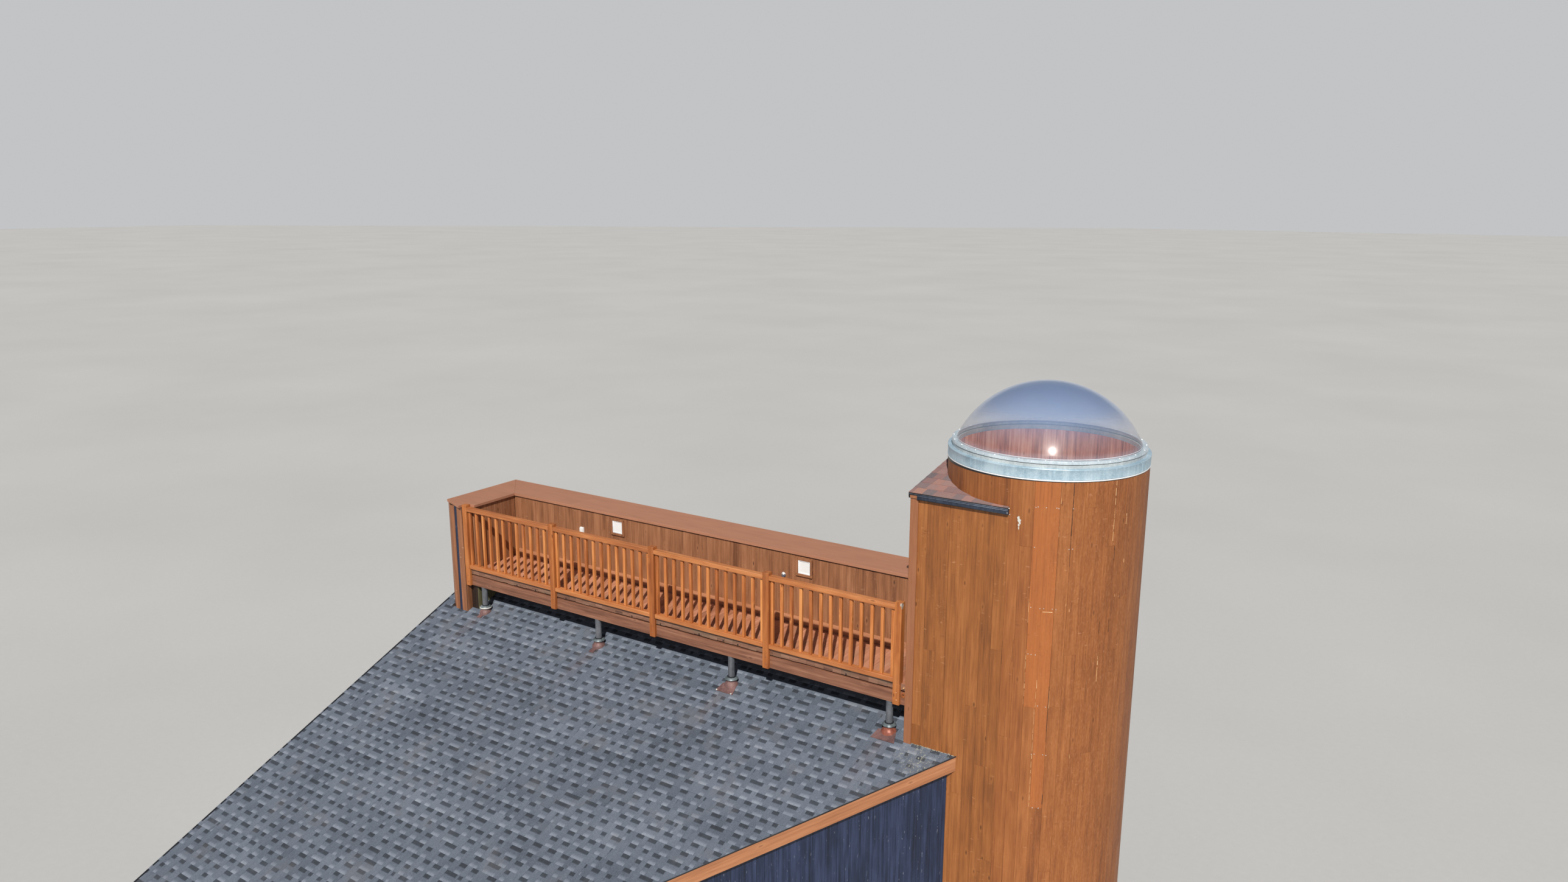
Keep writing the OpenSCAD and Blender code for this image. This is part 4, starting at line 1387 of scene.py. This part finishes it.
@dataclass
class WingRoof:
    """The wing's shingled roof with its metal edges and the pipes' flashings."""

    exposure: float = 0.143
    overlap: float = 0.020
    first_course: float = 0.006
    strip: float = 0.965
    strip_heights: tuple = (0.0, 0.0036, 0.001)
    tooth_heights: tuple = (0.0026, 0.0064, 0.0013)
    teeth: tuple = (0.07, 0.085, 0.095, 0.105, 0.115, 0.13, 0.16)
    spaces: tuple = (0.07, 0.085, 0.1, 0.105, 0.115, 0.13, 0.18)
    fascia_thick: float = 0.032
    fascia_deep: float = 0.180
    pipe_radius: float = 0.044
    seal: tuple = ((0.001, 0.116), (0.010, 0.117), (0.012, 0.108), (0.008, 0.103), (0.001, 0.103))
    collar: tuple = ((0.001, 0.104), (0.016, 0.104), (0.040, 0.086), (0.043, 0.080),
                     (0.041, 0.076), (0.014, 0.094), (0.001, 0.094))
    skirt: tuple = ((0.001, -0.04), (0.054, -0.04), (0.051, 0.004), (0.040, 0.020), (0.028, 0.038),
                    (0.024, 0.050), (0.023, 0.088), (0.001, 0.090))
    bead: tuple = ((0.012, 0.075), (0.036, 0.062), (0.046, 0.070), (0.044, 0.082), (0.026, 0.091),
                   (0.012, 0.093))
    laps: tuple = ((-0.16, 0.15, -0.165), (-0.14, 0.13, -0.165), (-0.05, 0.03, -0.165),
                   (-0.045, 0.04, -0.15))

    def at(self, x: float, s: float, h: float) -> Point:
        """Gives the point at a distance up the slope and a height above it."""
        return PLAN.on_slope((x, s, h), (PLAN.eave_y, PLAN.roof(PLAN.eave_y)), PLAN.roof_slope)

    def spans(self, y: float) -> list:
        """Finds what is shingled at a distance y.

        Args:
            y: The place along Y.

        Returns:
            The stretches along X, each with its left and right end.
        """
        left, by_house = PLAN.rake_x + 0.002, PLAN.left_x + 0.02
        if y < PLAN.front_y - 0.002:
            return [(left, PLAN.edge(y) - 0.004)]
        under_deck = [(PLAN.box_x - 0.02, PLAN.side_x)] if y < PLAN.parapet_y else []
        return [(left, by_house), *under_deck]

    def shingles(self) -> None:
        """Builds the laminated shingles course by course."""
        work = Joinery(400)
        cos = math.cos(math.atan(PLAN.roof_slope))
        length = (PLAN.back_y - 0.02 - PLAN.eave_y) / cos - self.first_course
        for course in range(int(length / self.exposure) + 1):
            s0 = self.first_course + course * self.exposure
            s1 = s0 + self.exposure + self.overlap
            rows =[PLAN.eave_y + s * cos for s in (s0, s1)]
            for left, right in self.spans(rows[0]):
                slanted = left < -9.0 and right > -8.9
                ends = [PLAN.edge(min(y, PLAN.front_y)) - 0.004 if slanted else right
                        for y in rows]
                self.course(work, left, ends, (s0, s1))
        work.build("wing_shingles", [Finishes.grey_shingles], "grey_shingles")

    def course(self, work: Joinery, left: float, ends: list, span: tuple) -> None:
        """Lays one course: long base strips, and the teeth that are laminated onto them.

        Args:
            work: The mesh that it goes into.
            left: The course's left end.
            ends: The roof's edge at the course's foot and head.
            span: The distances of its foot and head up the slope.
        """
        chance = work.random
        x = left - chance.uniform(0.0, 0.9)
        while x < ends[1]:
            own = chance.gauss(0.5, 0.16)
            stop = x + self.strip
            self.tab(work, (max(x, left), stop - 0.0012), ends, span, self.strip_heights,
                     (own, 1.0))
            tooth = x + chance.uniform(0.0, 0.06)
            while tooth < stop - 0.03:
                wide = chance.choice(self.teeth)
                if tooth + wide > left:
                    self.tab(work, (max(tooth, left), min(tooth + wide, stop - 0.003)), ends,
                             (span[0] - 0.001, span[1]), self.tooth_heights,
                             (own + chance.gauss(0.0, 0.12), 0.0))
                tooth += wide + chance.choice(self.spaces)
            x = stop

    def tab(self, work: Joinery, sides: tuple, ends: list, span: tuple, heights: tuple,
            tone: tuple) -> None:
        """Adds one tab, cut off along the roof's edge.

        Args:
            work: The mesh that it goes into.
            sides: Its left and right sides before it is cut.
            ends: The roof's edge at the tab's foot and head.
            span: The distances of its foot and head up the slope.
            heights: The heights of its underside and top at the foot, and of its top at the head.
            tone: Its random tone, and 1 for a base strip or 0 for a tooth.
        """
        a, b = sides
        foot, head = ends
        if head - a < 0.004:
            return
        right = []
        if min(b, foot) > a:
            right.append((min(b, foot), 0.0))
        elif head > foot:
            right.append((a, (a - foot) / (head - foot)))
        if foot < b < head:
            right.append((b, (b - foot) / (head - foot)))
        right.append((min(b, head), 1.0))
        outline = ([(a, 0.0)] if right[0][1] == 0.0 else []) + right + [(a, 1.0)]
        low, high, tones = [], [], []
        for x, share in outline:
            s = span[0] + (span[1] - span[0]) * share
            low.append(self.at(x, s, heights[0] * (1.0 - share)))
            high.append(self.at(x, s, heights[1] + (heights[2] - heights[1]) * share))
            tones.append((*tone, share))
        work.loft(low, high, 0, tones)

    def fascia(self) -> None:
        """Builds the boards along the roof's three edges."""
        work = Joinery(404)
        thick, deep, roof = self.fascia_thick, self.fascia_deep, PLAN.roof
        for finish, stops in ((0, (PLAN.eave_y, -4.36, PLAN.front_y)),
                              (2, (PLAN.eave_y, -2.3, PLAN.back_y))):
            for start, end in zip(stops, stops[1:]):
                ends = []
                for y in (start + 0.0005, end if end == PLAN.front_y else end - 0.0005):
                    across = ((PLAN.rake_x, PLAN.rake_x + thick) if finish
                              else (PLAN.edge(y, thick), PLAN.edge(y)))
                    ends.append((y, *across, roof(y) - deep, roof(y)))
                work.beam(ends, finish)
        y0, y1 = PLAN.eave_y, PLAN.eave_y + thick
        for x0, x1 in ((PLAN.rake_x + thick + 0.001, -7.0), (-6.999, PLAN.edge(y1, thick) - 0.001)):
            work.length([(y0, roof(y0) - deep), (y1, roof(y1) - deep), (y1, roof(y1)),
                         (y0, roof(y0))], x0, x1, 1)
        work.build("fascia_lengths",
                   [Finishes.fascia_paint, Finishes.eave_paint, Finishes.rake_paint],
                   "orange_trim", ("fascia_boards",), 0.002)

    def edges(self) -> None:
        """Builds the thin black edge metal and the pale joint at the tower's foot."""
        work = Joinery(401)
        chance, roof = work.random, PLAN.roof
        section = ((-0.003, -0.004), (0.003, -0.005), (0.003, 0.007), (-0.003, 0.009))
        work.loft(*([(PLAN.edge(y) + out, y, roof(y) + up) for out, up in section]
                    for y in (PLAN.eave_y, PLAN.front_y)))
        work.bar((PLAN.rake_x + 0.001, PLAN.eave_y + 0.001, roof(PLAN.eave_y) + 0.0005),
                 (PLAN.edge(PLAN.eave_y), PLAN.eave_y + 0.03, roof(PLAN.eave_y) + 0.004))
        work.beam([(y, PLAN.rake_x + 0.0005, PLAN.rake_x + 0.03, roof(y) + 0.0005, roof(y) + 0.005)
                   for y in (PLAN.eave_y + 0.002, PLAN.back_y)])
        x = -1.13
        while x < -0.5:
            y = PLAN.front_y - chance.uniform(0.001, 0.005)
            long = chance.uniform(0.006, 0.03)
            work.bar((x, y - chance.uniform(0.002, 0.005), roof(y)),
                     (min(x + long, -0.495), PLAN.front_y,
                      roof(y) + 0.009 * chance.random() + 0.005), 1)
            x += long + chance.uniform(0.0, 0.02)
        for _ in range(34):
            x = -0.56 - 0.5 * chance.random() ** 1.4
            y = PLAN.front_y - 0.02 - 0.3 * chance.random() ** 2.0
            if x < PLAN.edge(y) - 0.03:
                work.stud((x, y, roof(y) + 0.007), (0.0, -0.4, 1.0), chance.uniform(0.002, 0.005),
                          0.0025, 1, 6)
        work.build("roof_edge_metal", [Finishes.black_metal, Finishes.grit], "black_pipe")

    def posts(self) -> None:
        """Builds the pipe posts and their flashings."""
        pipes, skirts = Joinery(402), Joinery(403)
        y, r, head = PLAN.pipe_y, self.pipe_radius, PLAN.rim_low
        z = PLAN.roof(y)
        for number, (x, (left, right, foot)) in enumerate(zip(PLAN.pipes, self.laps)):
            pipes.lathe([(0.0, z - 0.02), (r, z - 0.02), (r, head - 0.012),
                         (r + 0.004, head - 0.010), (r + 0.004, head - 0.0005),
                         (0.0, head - 0.0005)], 40, 0, (x, y))
            for profile, finish in ((self.seal, 3), (self.collar, 2),
                                    (self.skirt, 0 if number else 4)):
                skirts.lathe([(r + out, z + up) for out, up in profile], 40, finish, (x, y))
            plan = ((left, foot), (right, foot), (right * 0.7, -0.02), (left * 0.8, -0.03))
            skirts.loft(*([self.on_roof(x + dx, y + dy, h) for dx, dy in plan]
                          for h in (0.010, 0.0145)))
            if number == 1:
                for dx, dy in ((left + 0.012, foot + 0.01), (right - 0.03, foot + 0.008)):
                    skirts.stud(self.on_roof(x + dx, y + dy, 0.013), (0, -0.4, 1), 0.012, 0.006,
                                1, 7)
            if number == 3:
                skirts.lathe([(r + out, z + up) for out, up in self.bead], 24, 1, (x, y))
        pipes.build("pipe_posts_painted", [Finishes.pipe_paint], "black_pipe", ("pipe_posts",))
        skirts.build("pipe_skirts", [Finishes.aged_copper, Finishes.caulk, Finishes.collar_metal,
                                     Finishes.black_metal, Finishes.copper_red],
                     "copper_flashing", ("pipe_flashings",))

    def on_roof(self, x: float, y: float, h: float) -> Point:
        """Gives the point above the roof at a place in plan."""
        return (x, y, PLAN.roof(y) + h)

    def build(self) -> None:
        """Builds the whole roof."""
        self.shingles()
        # The slab under the shingles is near-black: painted shade between the shingles.
        dress(Finishes.painted_gap_shade, "wing_roof")
        self.fascia()
        self.edges()
        self.posts()


@dataclass
class WingWalls:
    """The wing's navy board walls and the ground slabs."""

    pitch: float = 0.142
    joint: float = 0.0015
    proud: float = 0.007
    set_back: float = 0.08

    def run(self, work: Joinery, start: tuple, end: tuple, top: Height) -> None:
        """Adds upright boards along a wall's face.

        Args:
            work: The mesh that they go into.
            start: The face's first end in plan.
            end: The face's last end in plan, with the outside on its right.
            top: The height of the boards' heads.
        """
        along = Vector((end[0] - start[0], end[1] - start[1]))
        length = along.length
        along.normalize()
        out = Vector((along.y, -along.x)) * self.proud
        s = 0.0
        while s < length - 0.01:
            a = Vector(start) + along * s
            b = Vector(start) + along * min(s + self.pitch - self.joint, length)
            plan = (a, b, b + out, a + out)
            work.loft([(p.x, p.y, 0.0) for p in plan],
                      [(p.x, p.y, height_at(top, q.y)) for p, q in zip(plan, (a, b, b, a))])
            s += self.pitch

    def under(self, y: float) -> float:
        """Gives the height of the boards' heads under the roof."""
        return PLAN.roof(y) - 0.205

    def build(self) -> None:
        """Builds the boards on all four walls and dresses the cores."""
        # Near-black cores: painted shade seen through the board joints.
        dress(Finishes.painted_gap_shade, "wing_back_wall", "wing_left_wall", "wing_front_wall",
              "wing_slanted_wall")
        dress(Finishes.concrete, "wing_floor_slab", "tower_floor_slab")
        left, front, back = PLAN.left_x, PLAN.wing_front_y, PLAN.back_y
        turn = (PLAN.edge(front, self.set_back), front)
        lines = (("back", (-1.06, back), (left, back), PLAN.cap_low - 0.001),
                 ("left", (left, back + 0.006), (left, front), self.under),
                 ("front", (left, front), turn, self.under),
                 ("slanted", turn, (PLAN.edge(PLAN.front_y, self.set_back), PLAN.front_y),
                  self.under))
        for number, (name, start, end, top) in enumerate(lines):
            work = Joinery(500 + number)
            self.run(work, start, end, top)
            work.build("wing_boards_" + name, [Finishes.navy_boards], "navy_boards", (), 0.0015)


@dataclass
class Parapet:
    """The parapet's boards, its boxed end and its caps."""

    pitch: float = 0.1385
    cap: tuple = (-9.047, -8.439, 0.395, -0.213)
    joints: tuple = (-7.243, -4.658)
    butt: float = 0.0006
    trims: tuple = ((-8.783, -8.730, 0.001, 0), (-8.869, -8.784, 0.006, 1),
                    (-8.729, -8.622, 0.006, 1))

    def inner(self) -> None:
        """Builds the brown boards that face the deck."""
        work = Joinery(600)
        chance = work.random
        front = PLAN.front_y + PLAN.post
        work.bar((PLAN.box_x + 0.001, front - 0.0038, PLAN.deck_top + 0.001),
                 (PLAN.parapet_x + 0.006, front + 0.002, PLAN.cap_low - 0.012))
        x = PLAN.parapet_x
        while x < PLAN.side_x - 0.01:
            wide = self.pitch * chance.uniform(0.94, 1.06)
            x1 = min(x + wide - 0.0008 - 0.0022 * chance.random(), PLAN.side_x)
            top = PLAN.cap_low - chance.uniform(0.008, 0.02)
            work.bar((x, PLAN.parapet_y - 0.005 - 0.002 * chance.random(),
                      PLAN.roof(PLAN.parapet_y)), (x1, PLAN.parapet_y + 0.002, top))
            x += wide
        x0, x1 = PLAN.parapet_x - 0.002, PLAN.parapet_x + 0.006
        y = front
        while y < PLAN.parapet_y - 0.02:
            y1 = min(y + self.pitch - 0.003, PLAN.parapet_y)
            work.bar((x0, y, PLAN.deck_top - 0.002), (x1, y1, PLAN.cap_low - 0.01))
            # Under the deck the end wall takes index 1, very dark greenish boards.
            work.plate([(x0, y), (x1, y), (x1, y1), (x0, y1)], PLAN.roof, PLAN.plank_low, 1)
            y += self.pitch
        work.build("parapet_inner_boards", [Finishes.wall_boards, Finishes.dark_green_boards],
                   "brown_boards", (), 0.0015)

    def outer(self) -> None:
        """Builds the navy boards of the closed end and the trim of its boxed front."""
        work = Joinery(601)
        left, front, roof = PLAN.left_x, PLAN.front_y, PLAN.roof
        y = front + 0.200
        while y < PLAN.back_y - 0.01:
            y1 = min(y + self.pitch - 0.004, PLAN.back_y)
            work.length([(y, roof(y)), (y1, roof(y1)), (y1, PLAN.cap_low - 0.001),
                         (y, PLAN.cap_low - 0.001)], left - 0.006, left + 0.002)
            y += self.pitch
        foot, high = roof(front), PLAN.cap_low - 0.002
        for x0, x1, proud, finish in self.trims:
            work.bar((x0, front - proud, foot), (x1, front + 0.004, high), finish)
        corner, run_x, run_y = -8.865, left + 8.865, 0.1
        for shares in ((0.0, 0.48), (0.5, 0.98)):
            (x0, y0), (x1, y1) = ((corner + run_x * share, front + run_y * share)
                                  for share in shares)
            work.plate([(x0, y0), (x1, y1), (x1 - 0.0033, y1 - 0.005), (x0 - 0.0033, y0 - 0.005)],
                       roof, high, 1)
        work.bar((left - 0.005, front + 0.1, roof(front + 0.1)),
                 (left + 0.002, front + 0.196, high), 1)
        x0, x1 = PLAN.box_x - 0.002, PLAN.box_x + 0.005
        for y0, y1, finish in ((front + 0.002, front + 0.058, 1), (front + 0.062, front + 0.128, 2),
                               (front + 0.132, front + 0.2, 2)):
            work.plate([(x0, y0), (x1, y0), (x1, y1), (x0, y1)], roof, 8.205, finish)
        work.build("parapet_end_boards", [Finishes.navy_boards, Finishes.end_trim,
                                          Finishes.wall_boards], "navy_boards", (), 0.0015)

    def caps(self) -> None:
        """Builds the cap in lengths with fine joints between them."""
        work, end = Joinery(602), Joinery(603)
        x0, x_in, y1, y_in = self.cap
        first, second, butt = *self.joints, self.butt
        low, high = PLAN.cap_low, PLAN.cap_top
        along_wall = [(-math.sqrt(1.117 ** 2 - y * y), y) for y in (y1 * i / 8.0 for i in range(9))]
        for plan in ([(x0 + butt, y1), (x_in + butt, y_in), (first - butt, y_in),
                      (first - butt, y1)],
                     [(first + butt, y_in), (second - butt, y_in), (second - butt, y1),
                      (first + butt, y1)],
                     [(second + butt, y_in), (PLAN.side_x, y_in), (PLAN.side_x, 0.0), *along_wall,
                      (second + butt, y1)]):
            work.plate(plan, low, high)
        work.build("parapet_cap_lengths", [Finishes.cap_paint], "pink_brown_boards",
                   ("parapet_cap_back",), 0.0012)
        end.plate([(x0, y1 - butt), (x_in, y_in - butt), (x_in, -1.0257), (-8.6143, -1.0257),
                   (-8.6143, -1.175), (x0, -1.020)], low, high)
        end.build("parapet_cap_return", [Finishes.cap_paint], "pink_brown_boards",
                  ("parapet_cap_end",), 0.0012)

    def build(self) -> None:
        """Builds the whole parapet."""
        # Near-black cores: painted shade seen through the board joints.
        dress(Finishes.painted_gap_shade, "parapet_inner_wall", "parapet_end_inner", "parapet_end_outer",
              "parapet_end_box")
        self.inner()
        self.outer()
        self.caps()


@dataclass
class RoofDeck:
    """The deck's planks, rim board, joists and kick board."""

    pitch: float = 0.1242

    def planks(self) -> None:
        """Builds the planks that run from the railing to the parapet."""
        work = Joinery(700)
        chance = work.random
        x, end = PLAN.box_x, PLAN.side_x - 0.0193
        while x < end - 0.01:
            x1 = min(x + self.pitch, end)
            back = PLAN.parapet_y if x1 > PLAN.parapet_x + 0.02 else PLAN.front_y + PLAN.post
            sag = chance.uniform(-0.004, 0.003)
            front = PLAN.rim_y + chance.uniform(0.0, 0.003)
            tone = work.any_tone()
            top = PLAN.deck_top + chance.uniform(-0.002, 0.0)
            work.bar((x + 0.0009, front + 0.014, PLAN.plank_low + sag), (x1 - 0.0009, back, top), 0,
                     tone)
            low = PLAN.plank_low + 0.008 + chance.uniform(-0.006, 0.006)
            work.bar((x + 0.0003, front, low), (x1 - 0.0003, front + 0.016, top - 0.003), 1)
            # A few plank ends get a near-black notch: painted shade inside the notch.
            if chance.random() < 0.16:
                notch = x + chance.uniform(0.2, 0.8) * (x1 - x)
                work.bar((notch, front - 0.001, low), (notch + 0.02, front + 0.002, low + 0.024), 2)
            x = x1
        work.build("deck_planks", [Finishes.deck_planks, Finishes.plank_ends, Finishes.painted_gap_shade],
                   "pink_brown_boards", ("deck_floor",), 0.0008)

    def build(self) -> None:
        """Builds the whole deck."""
        self.planks()
        dress(Finishes.rim_wood, "rim_board")
        dress(Finishes.joist_wood, "deck_joists")
        dress(Finishes.kick_paint, "kick_board")


@dataclass
class Railing:
    """The posts with their bolts, and the four panels of rails and balusters."""

    rail_high: float = 9.440
    rail: float = 0.056
    depth: float = 0.080
    foot: float = 8.480
    baluster: float = 0.038
    set_back: float = 0.024
    pitch: float = 0.140417
    gap: float = 0.013

    def posts(self) -> None:
        """Builds the posts, their bolts and the small bracket by the corner board."""
        work = Joinery(800)
        y0, y1, rim = PLAN.front_y, PLAN.front_y + PLAN.post, PLAN.rim_y
        for x in PLAN.posts:
            x1 = x + PLAN.post
            tone = work.any_tone()
            work.bar((x, y0, PLAN.deck_top), (x1, y1, PLAN.post_top), 0, tone)
            work.bar((x, y0, PLAN.rim_low - 0.003), (x1, rim, PLAN.deck_top), 0, tone)
            for dz in (0.154, 0.06):
                centre = (x + 0.052 + work.random.uniform(-0.004, 0.004), y0, PLAN.rim_low + dz)
                work.stud(centre, (0, -1, 0), 0.0085, 0.005, 1 if x == PLAN.posts[-1] else 4)
        work.bar((-1.216, rim - 0.006, 8.300), (-1.164, rim, 8.366), 0, (0.2, 0.5, 0.0))
        # The first stud is a near-black disc on the bracket: a painted slot, the shade inside it.
        for centre, radius, out, finish, sides in (
                ((-1.192, rim - 0.006, 8.340), 0.011, 0.004, 2, 8),
                ((-1.186, rim - 0.002, 8.425), 0.021, 0.010, 4, 12),
                ((-1.186, rim - 0.011, 8.427), 0.012, 0.012, 1, 6)):
            work.stud(centre, (0, -1, 0), radius, out, finish, sides)
        x1 = PLAN.posts[-1] + PLAN.post
        for z0, z1, y2, proud in ((9.404, 9.430, 0.036, 0.0008), (9.425, 9.458, 0.05, 0.0010),
                                  (9.448, 9.477, 0.03, 0.0012)):
            work.bar((x1 - 0.004, y0 - 0.0005, z0), (x1 + proud, y0 + y2, z1), 5)
        work.bar((x1 - 0.020, y0 - 0.0012, 9.438), (x1 + 0.0008, y0 + 0.004, 9.474), 5)
        work.build("rail_posts_bolted", [Finishes.rail_upright, Finishes.raw_wood,
                                         Finishes.painted_gap_shade, Finishes.screw_metal,
                                         Finishes.rusty_nail, Finishes.grey_wood],
                   "orange_trim", ("rail_posts",), 0.003)

    def panel(self, number: int) -> None:
        """Builds one panel.

        Args:
            number: The panel's number, from 1 at the closed end.
        """
        work = Joinery(810 + number)
        x0, x1 = PLAN.posts[number - 1] + PLAN.post, PLAN.posts[number]
        y0 = PLAN.front_y + (PLAN.post - self.depth) / 2
        half, rails = self.baluster / 2, (self.foot, self.rail_high - self.rail)
        for z in rails[::-1]:
            work.bar((x0, y0, z), (x1, y0 + self.depth, z + self.rail), 1)
        x = x0 + self.gap
        while x + self.baluster < x1:
            lean = work.random.uniform(-0.0025, 0.0025)
            turn = math.radians(work.random.uniform(-2.5, 2.5))
            cos, sin = half * math.cos(turn), half * math.sin(turn)
            corners = ((sin - cos, -sin - cos), (cos + sin, sin - cos), (cos - sin, sin + cos),
                       (-cos - sin, cos - sin))
            work.loft(*([(x + half + shift + dx, y0 + self.set_back + half + dy, z)
                         for dx, dy in corners]
                        for z, shift in ((rails[0] + self.rail, 0.0), (rails[1], lean))))
            x += self.pitch
        work.build("rail_panel_%d_bars" % number, [Finishes.baluster_wood, Finishes.rail_level],
                   "orange_trim", ("rail_panel_%d" % number,), 0.003)

    def build(self) -> None:
        """Builds the whole railing."""
        self.posts()
        for number in range(1, 5):
            self.panel(number)


@dataclass
class Fittings:
    """The two wall lights, the outlet box and the small round fitting."""

    lights: tuple = (-3.108, -6.331)
    light_z: float = 9.278
    half: float = 0.125
    pane: float = 0.092
    outlet: tuple = (-7.050, 9.118)
    lamp: tuple = (-3.436, 9.118)

    def rim(self, work: Joinery, x: float, outer: float, inner: float, proud: float,
            finish: int) -> None:
        """Adds a square frame round a light.

        Args:
            work: The mesh that it goes into.
            x: The light's place along the wall.
            outer: Half the frame's outer width.
            inner: Half its inner width.
            proud: How far it stands out of the wall.
            finish: The index of its material.
        """
        for x0, z0, x1, z1 in ((-outer, inner, outer, outer), (-outer, -outer, outer, -inner),
                               (-outer, -inner, -inner, inner), (inner, -inner, outer, inner)):
            work.bar((x + x0, PLAN.parapet_y - proud, self.light_z + z0),
                     (x + x1, PLAN.parapet_y, self.light_z + z1), finish)

    def build(self) -> None:
        """Builds all four."""
        work, small = Joinery(900), Joinery(901)
        face, inner = PLAN.parapet_y, self.pane - 0.014
        for x in self.lights:
            self.rim(work, x, self.half, self.pane, 0.030, 0)
            self.rim(work, x, self.pane, inner, 0.024, 1)
            work.bar((x - inner, face - 0.018, self.light_z - inner),
                     (x + inner, face, self.light_z + inner), 2)
        work.build("framed_lights", [Finishes.wall_boards, Finishes.pale_metal_painted_highlight,
                                     Finishes.pale_plastic],
                   "white_fittings", ("wall_lights",), 0.0012)
        x, z = self.outlet
        small.bar((x - 0.028, face - 0.026, z - 0.045), (x + 0.042, face, z + 0.040), 0)
        small.bar((x - 0.022, face - 0.040, z - 0.034), (x + 0.036, face - 0.025, z + 0.032), 0)
        small.bar((x - 0.018, face - 0.0402, z - 0.03), (x + 0.03, face - 0.039, z - 0.026), 1)
        x, z = self.lamp
        small.stud((x, face, z), (0, -1, 0), 0.040, 0.009, 0, 20)
        # The grey hood is the lamp's hood, and its dark tone partly paints the shade on its
        # underside; the small pale knob at its upper right is a painted highlight.
        small.stud((x + 0.004, face - 0.008, z - 0.006), (0.1, -1, -0.25), 0.030, 0.026, 1, 20)
        small.stud((x + 0.010, face - 0.022, z + 0.014), (0.2, -1, 0.5), 0.016, 0.012, 0, 14)
        small.build("outlet_and_lamp", [Finishes.pale_plastic, Finishes.grey_metal],
                    "white_fittings", ("outlet_and_fitting",), 0.0015)


@dataclass
class Studio:
    """The floor, the light and the camera."""

    focal: float = 1785.30
    width: int = 2576
    sensor: float = 36.0
    place: Point = (3.9971, -11.7052, 14.0273)
    bearing: tuple = (-0.5424, 0.8401)
    down: float = 12.7121
    roll: float = 0.1897
    sun: Point = (0.443, -0.913, 1.0)
    sun_power: float = 4.7
    sun_width: float = 0.8
    sun_colour: Colour = (1.0, 0.955, 0.89)
    surround: tuple = ((0.17, (0.54, 0.55, 0.56)), (0.26, (0.2, 0.22, 0.26)),
                       (0.6, (0.04, 0.065, 0.11)))
    reach: float = 500.0

    def camera(self) -> None:
        """Sets the camera at the photo's place and angle."""
        pitch, roll = math.radians(self.down), math.radians(self.roll)
        fx, fy = Vector(self.bearing).normalized()
        ahead = Vector((fx * math.cos(pitch), fy * math.cos(pitch), -math.sin(pitch)))
        right = Vector((fy, -fx, 0.0))
        up = Vector((fx * math.sin(pitch), fy * math.sin(pitch), math.cos(pitch)))
        c, n = math.cos(roll), math.sin(roll)
        right, up = right * c + up * n, up * c - right * n
        lens = bpy.data.cameras.new("view")
        lens.sensor_fit, lens.sensor_width = "HORIZONTAL", self.sensor
        lens.lens = self.focal / self.width * self.sensor
        lens.clip_end = self.reach
        view = into_scene("view", lens)
        turn = Matrix((right, up, -ahead)).transposed().to_4x4()
        view.matrix_world = Matrix.Translation(self.place) @ turn
        bpy.context.scene.camera = view

    def light(self) -> None:
        """Adds one soft key light from the photo's side and a pale surround."""
        key = bpy.data.lights.new("key", "SUN")
        key.energy, key.angle = self.sun_power, math.radians(self.sun_width)
        key.color = self.sun_colour
        lamp = into_scene("key", key)
        lamp.rotation_euler = Vector(self.sun).to_track_quat("Z", "Y").to_euler()
        world = bpy.data.worlds.new("studio")
        recipe = Recipe(world, "ShaderNodeBackground", "ShaderNodeOutputWorld")
        height = recipe.along(recipe.node("ShaderNodeTexCoord").outputs["Generated"])[2]
        recipe.put(recipe.shader, "Color", recipe.ramp(height, self.surround))
        bpy.context.scene.world = world
        bpy.context.scene.view_settings.view_transform = "Standard"

    def floor(self) -> None:
        """Lays a plain pale floor under the building."""
        data = bpy.data.meshes.new("floor")
        r = self.reach
        data.from_pydata([(-r, -r, 0), (r, -r, 0), (r, r, 0), (-r, r, 0)], [], [(0, 1, 2, 3)])
        data.materials.append(Finishes.of(Finishes.studio_floor))
        ground = into_scene("floor", data)
        ground.location.z = -0.002

    def build(self) -> None:
        """Sets up the whole studio."""
        self.camera()
        self.light()
        self.floor()


def main() -> None:
    """Builds every sub-assembly in order."""
    logging.basicConfig(level=logging.INFO, format="%(name)s %(message)s")
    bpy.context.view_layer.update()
    Studio().build()
    for part in (TowerShell(), EntryCorner(), DomeTop(), WingRoof(), WingWalls(), Parapet(),
                 RoofDeck(), Railing(), Fittings()):
        LOG.info("building %s", type(part).__name__)
        part.build()
    bpy.context.view_layer.update()


if __name__ == "__main__":
    main()
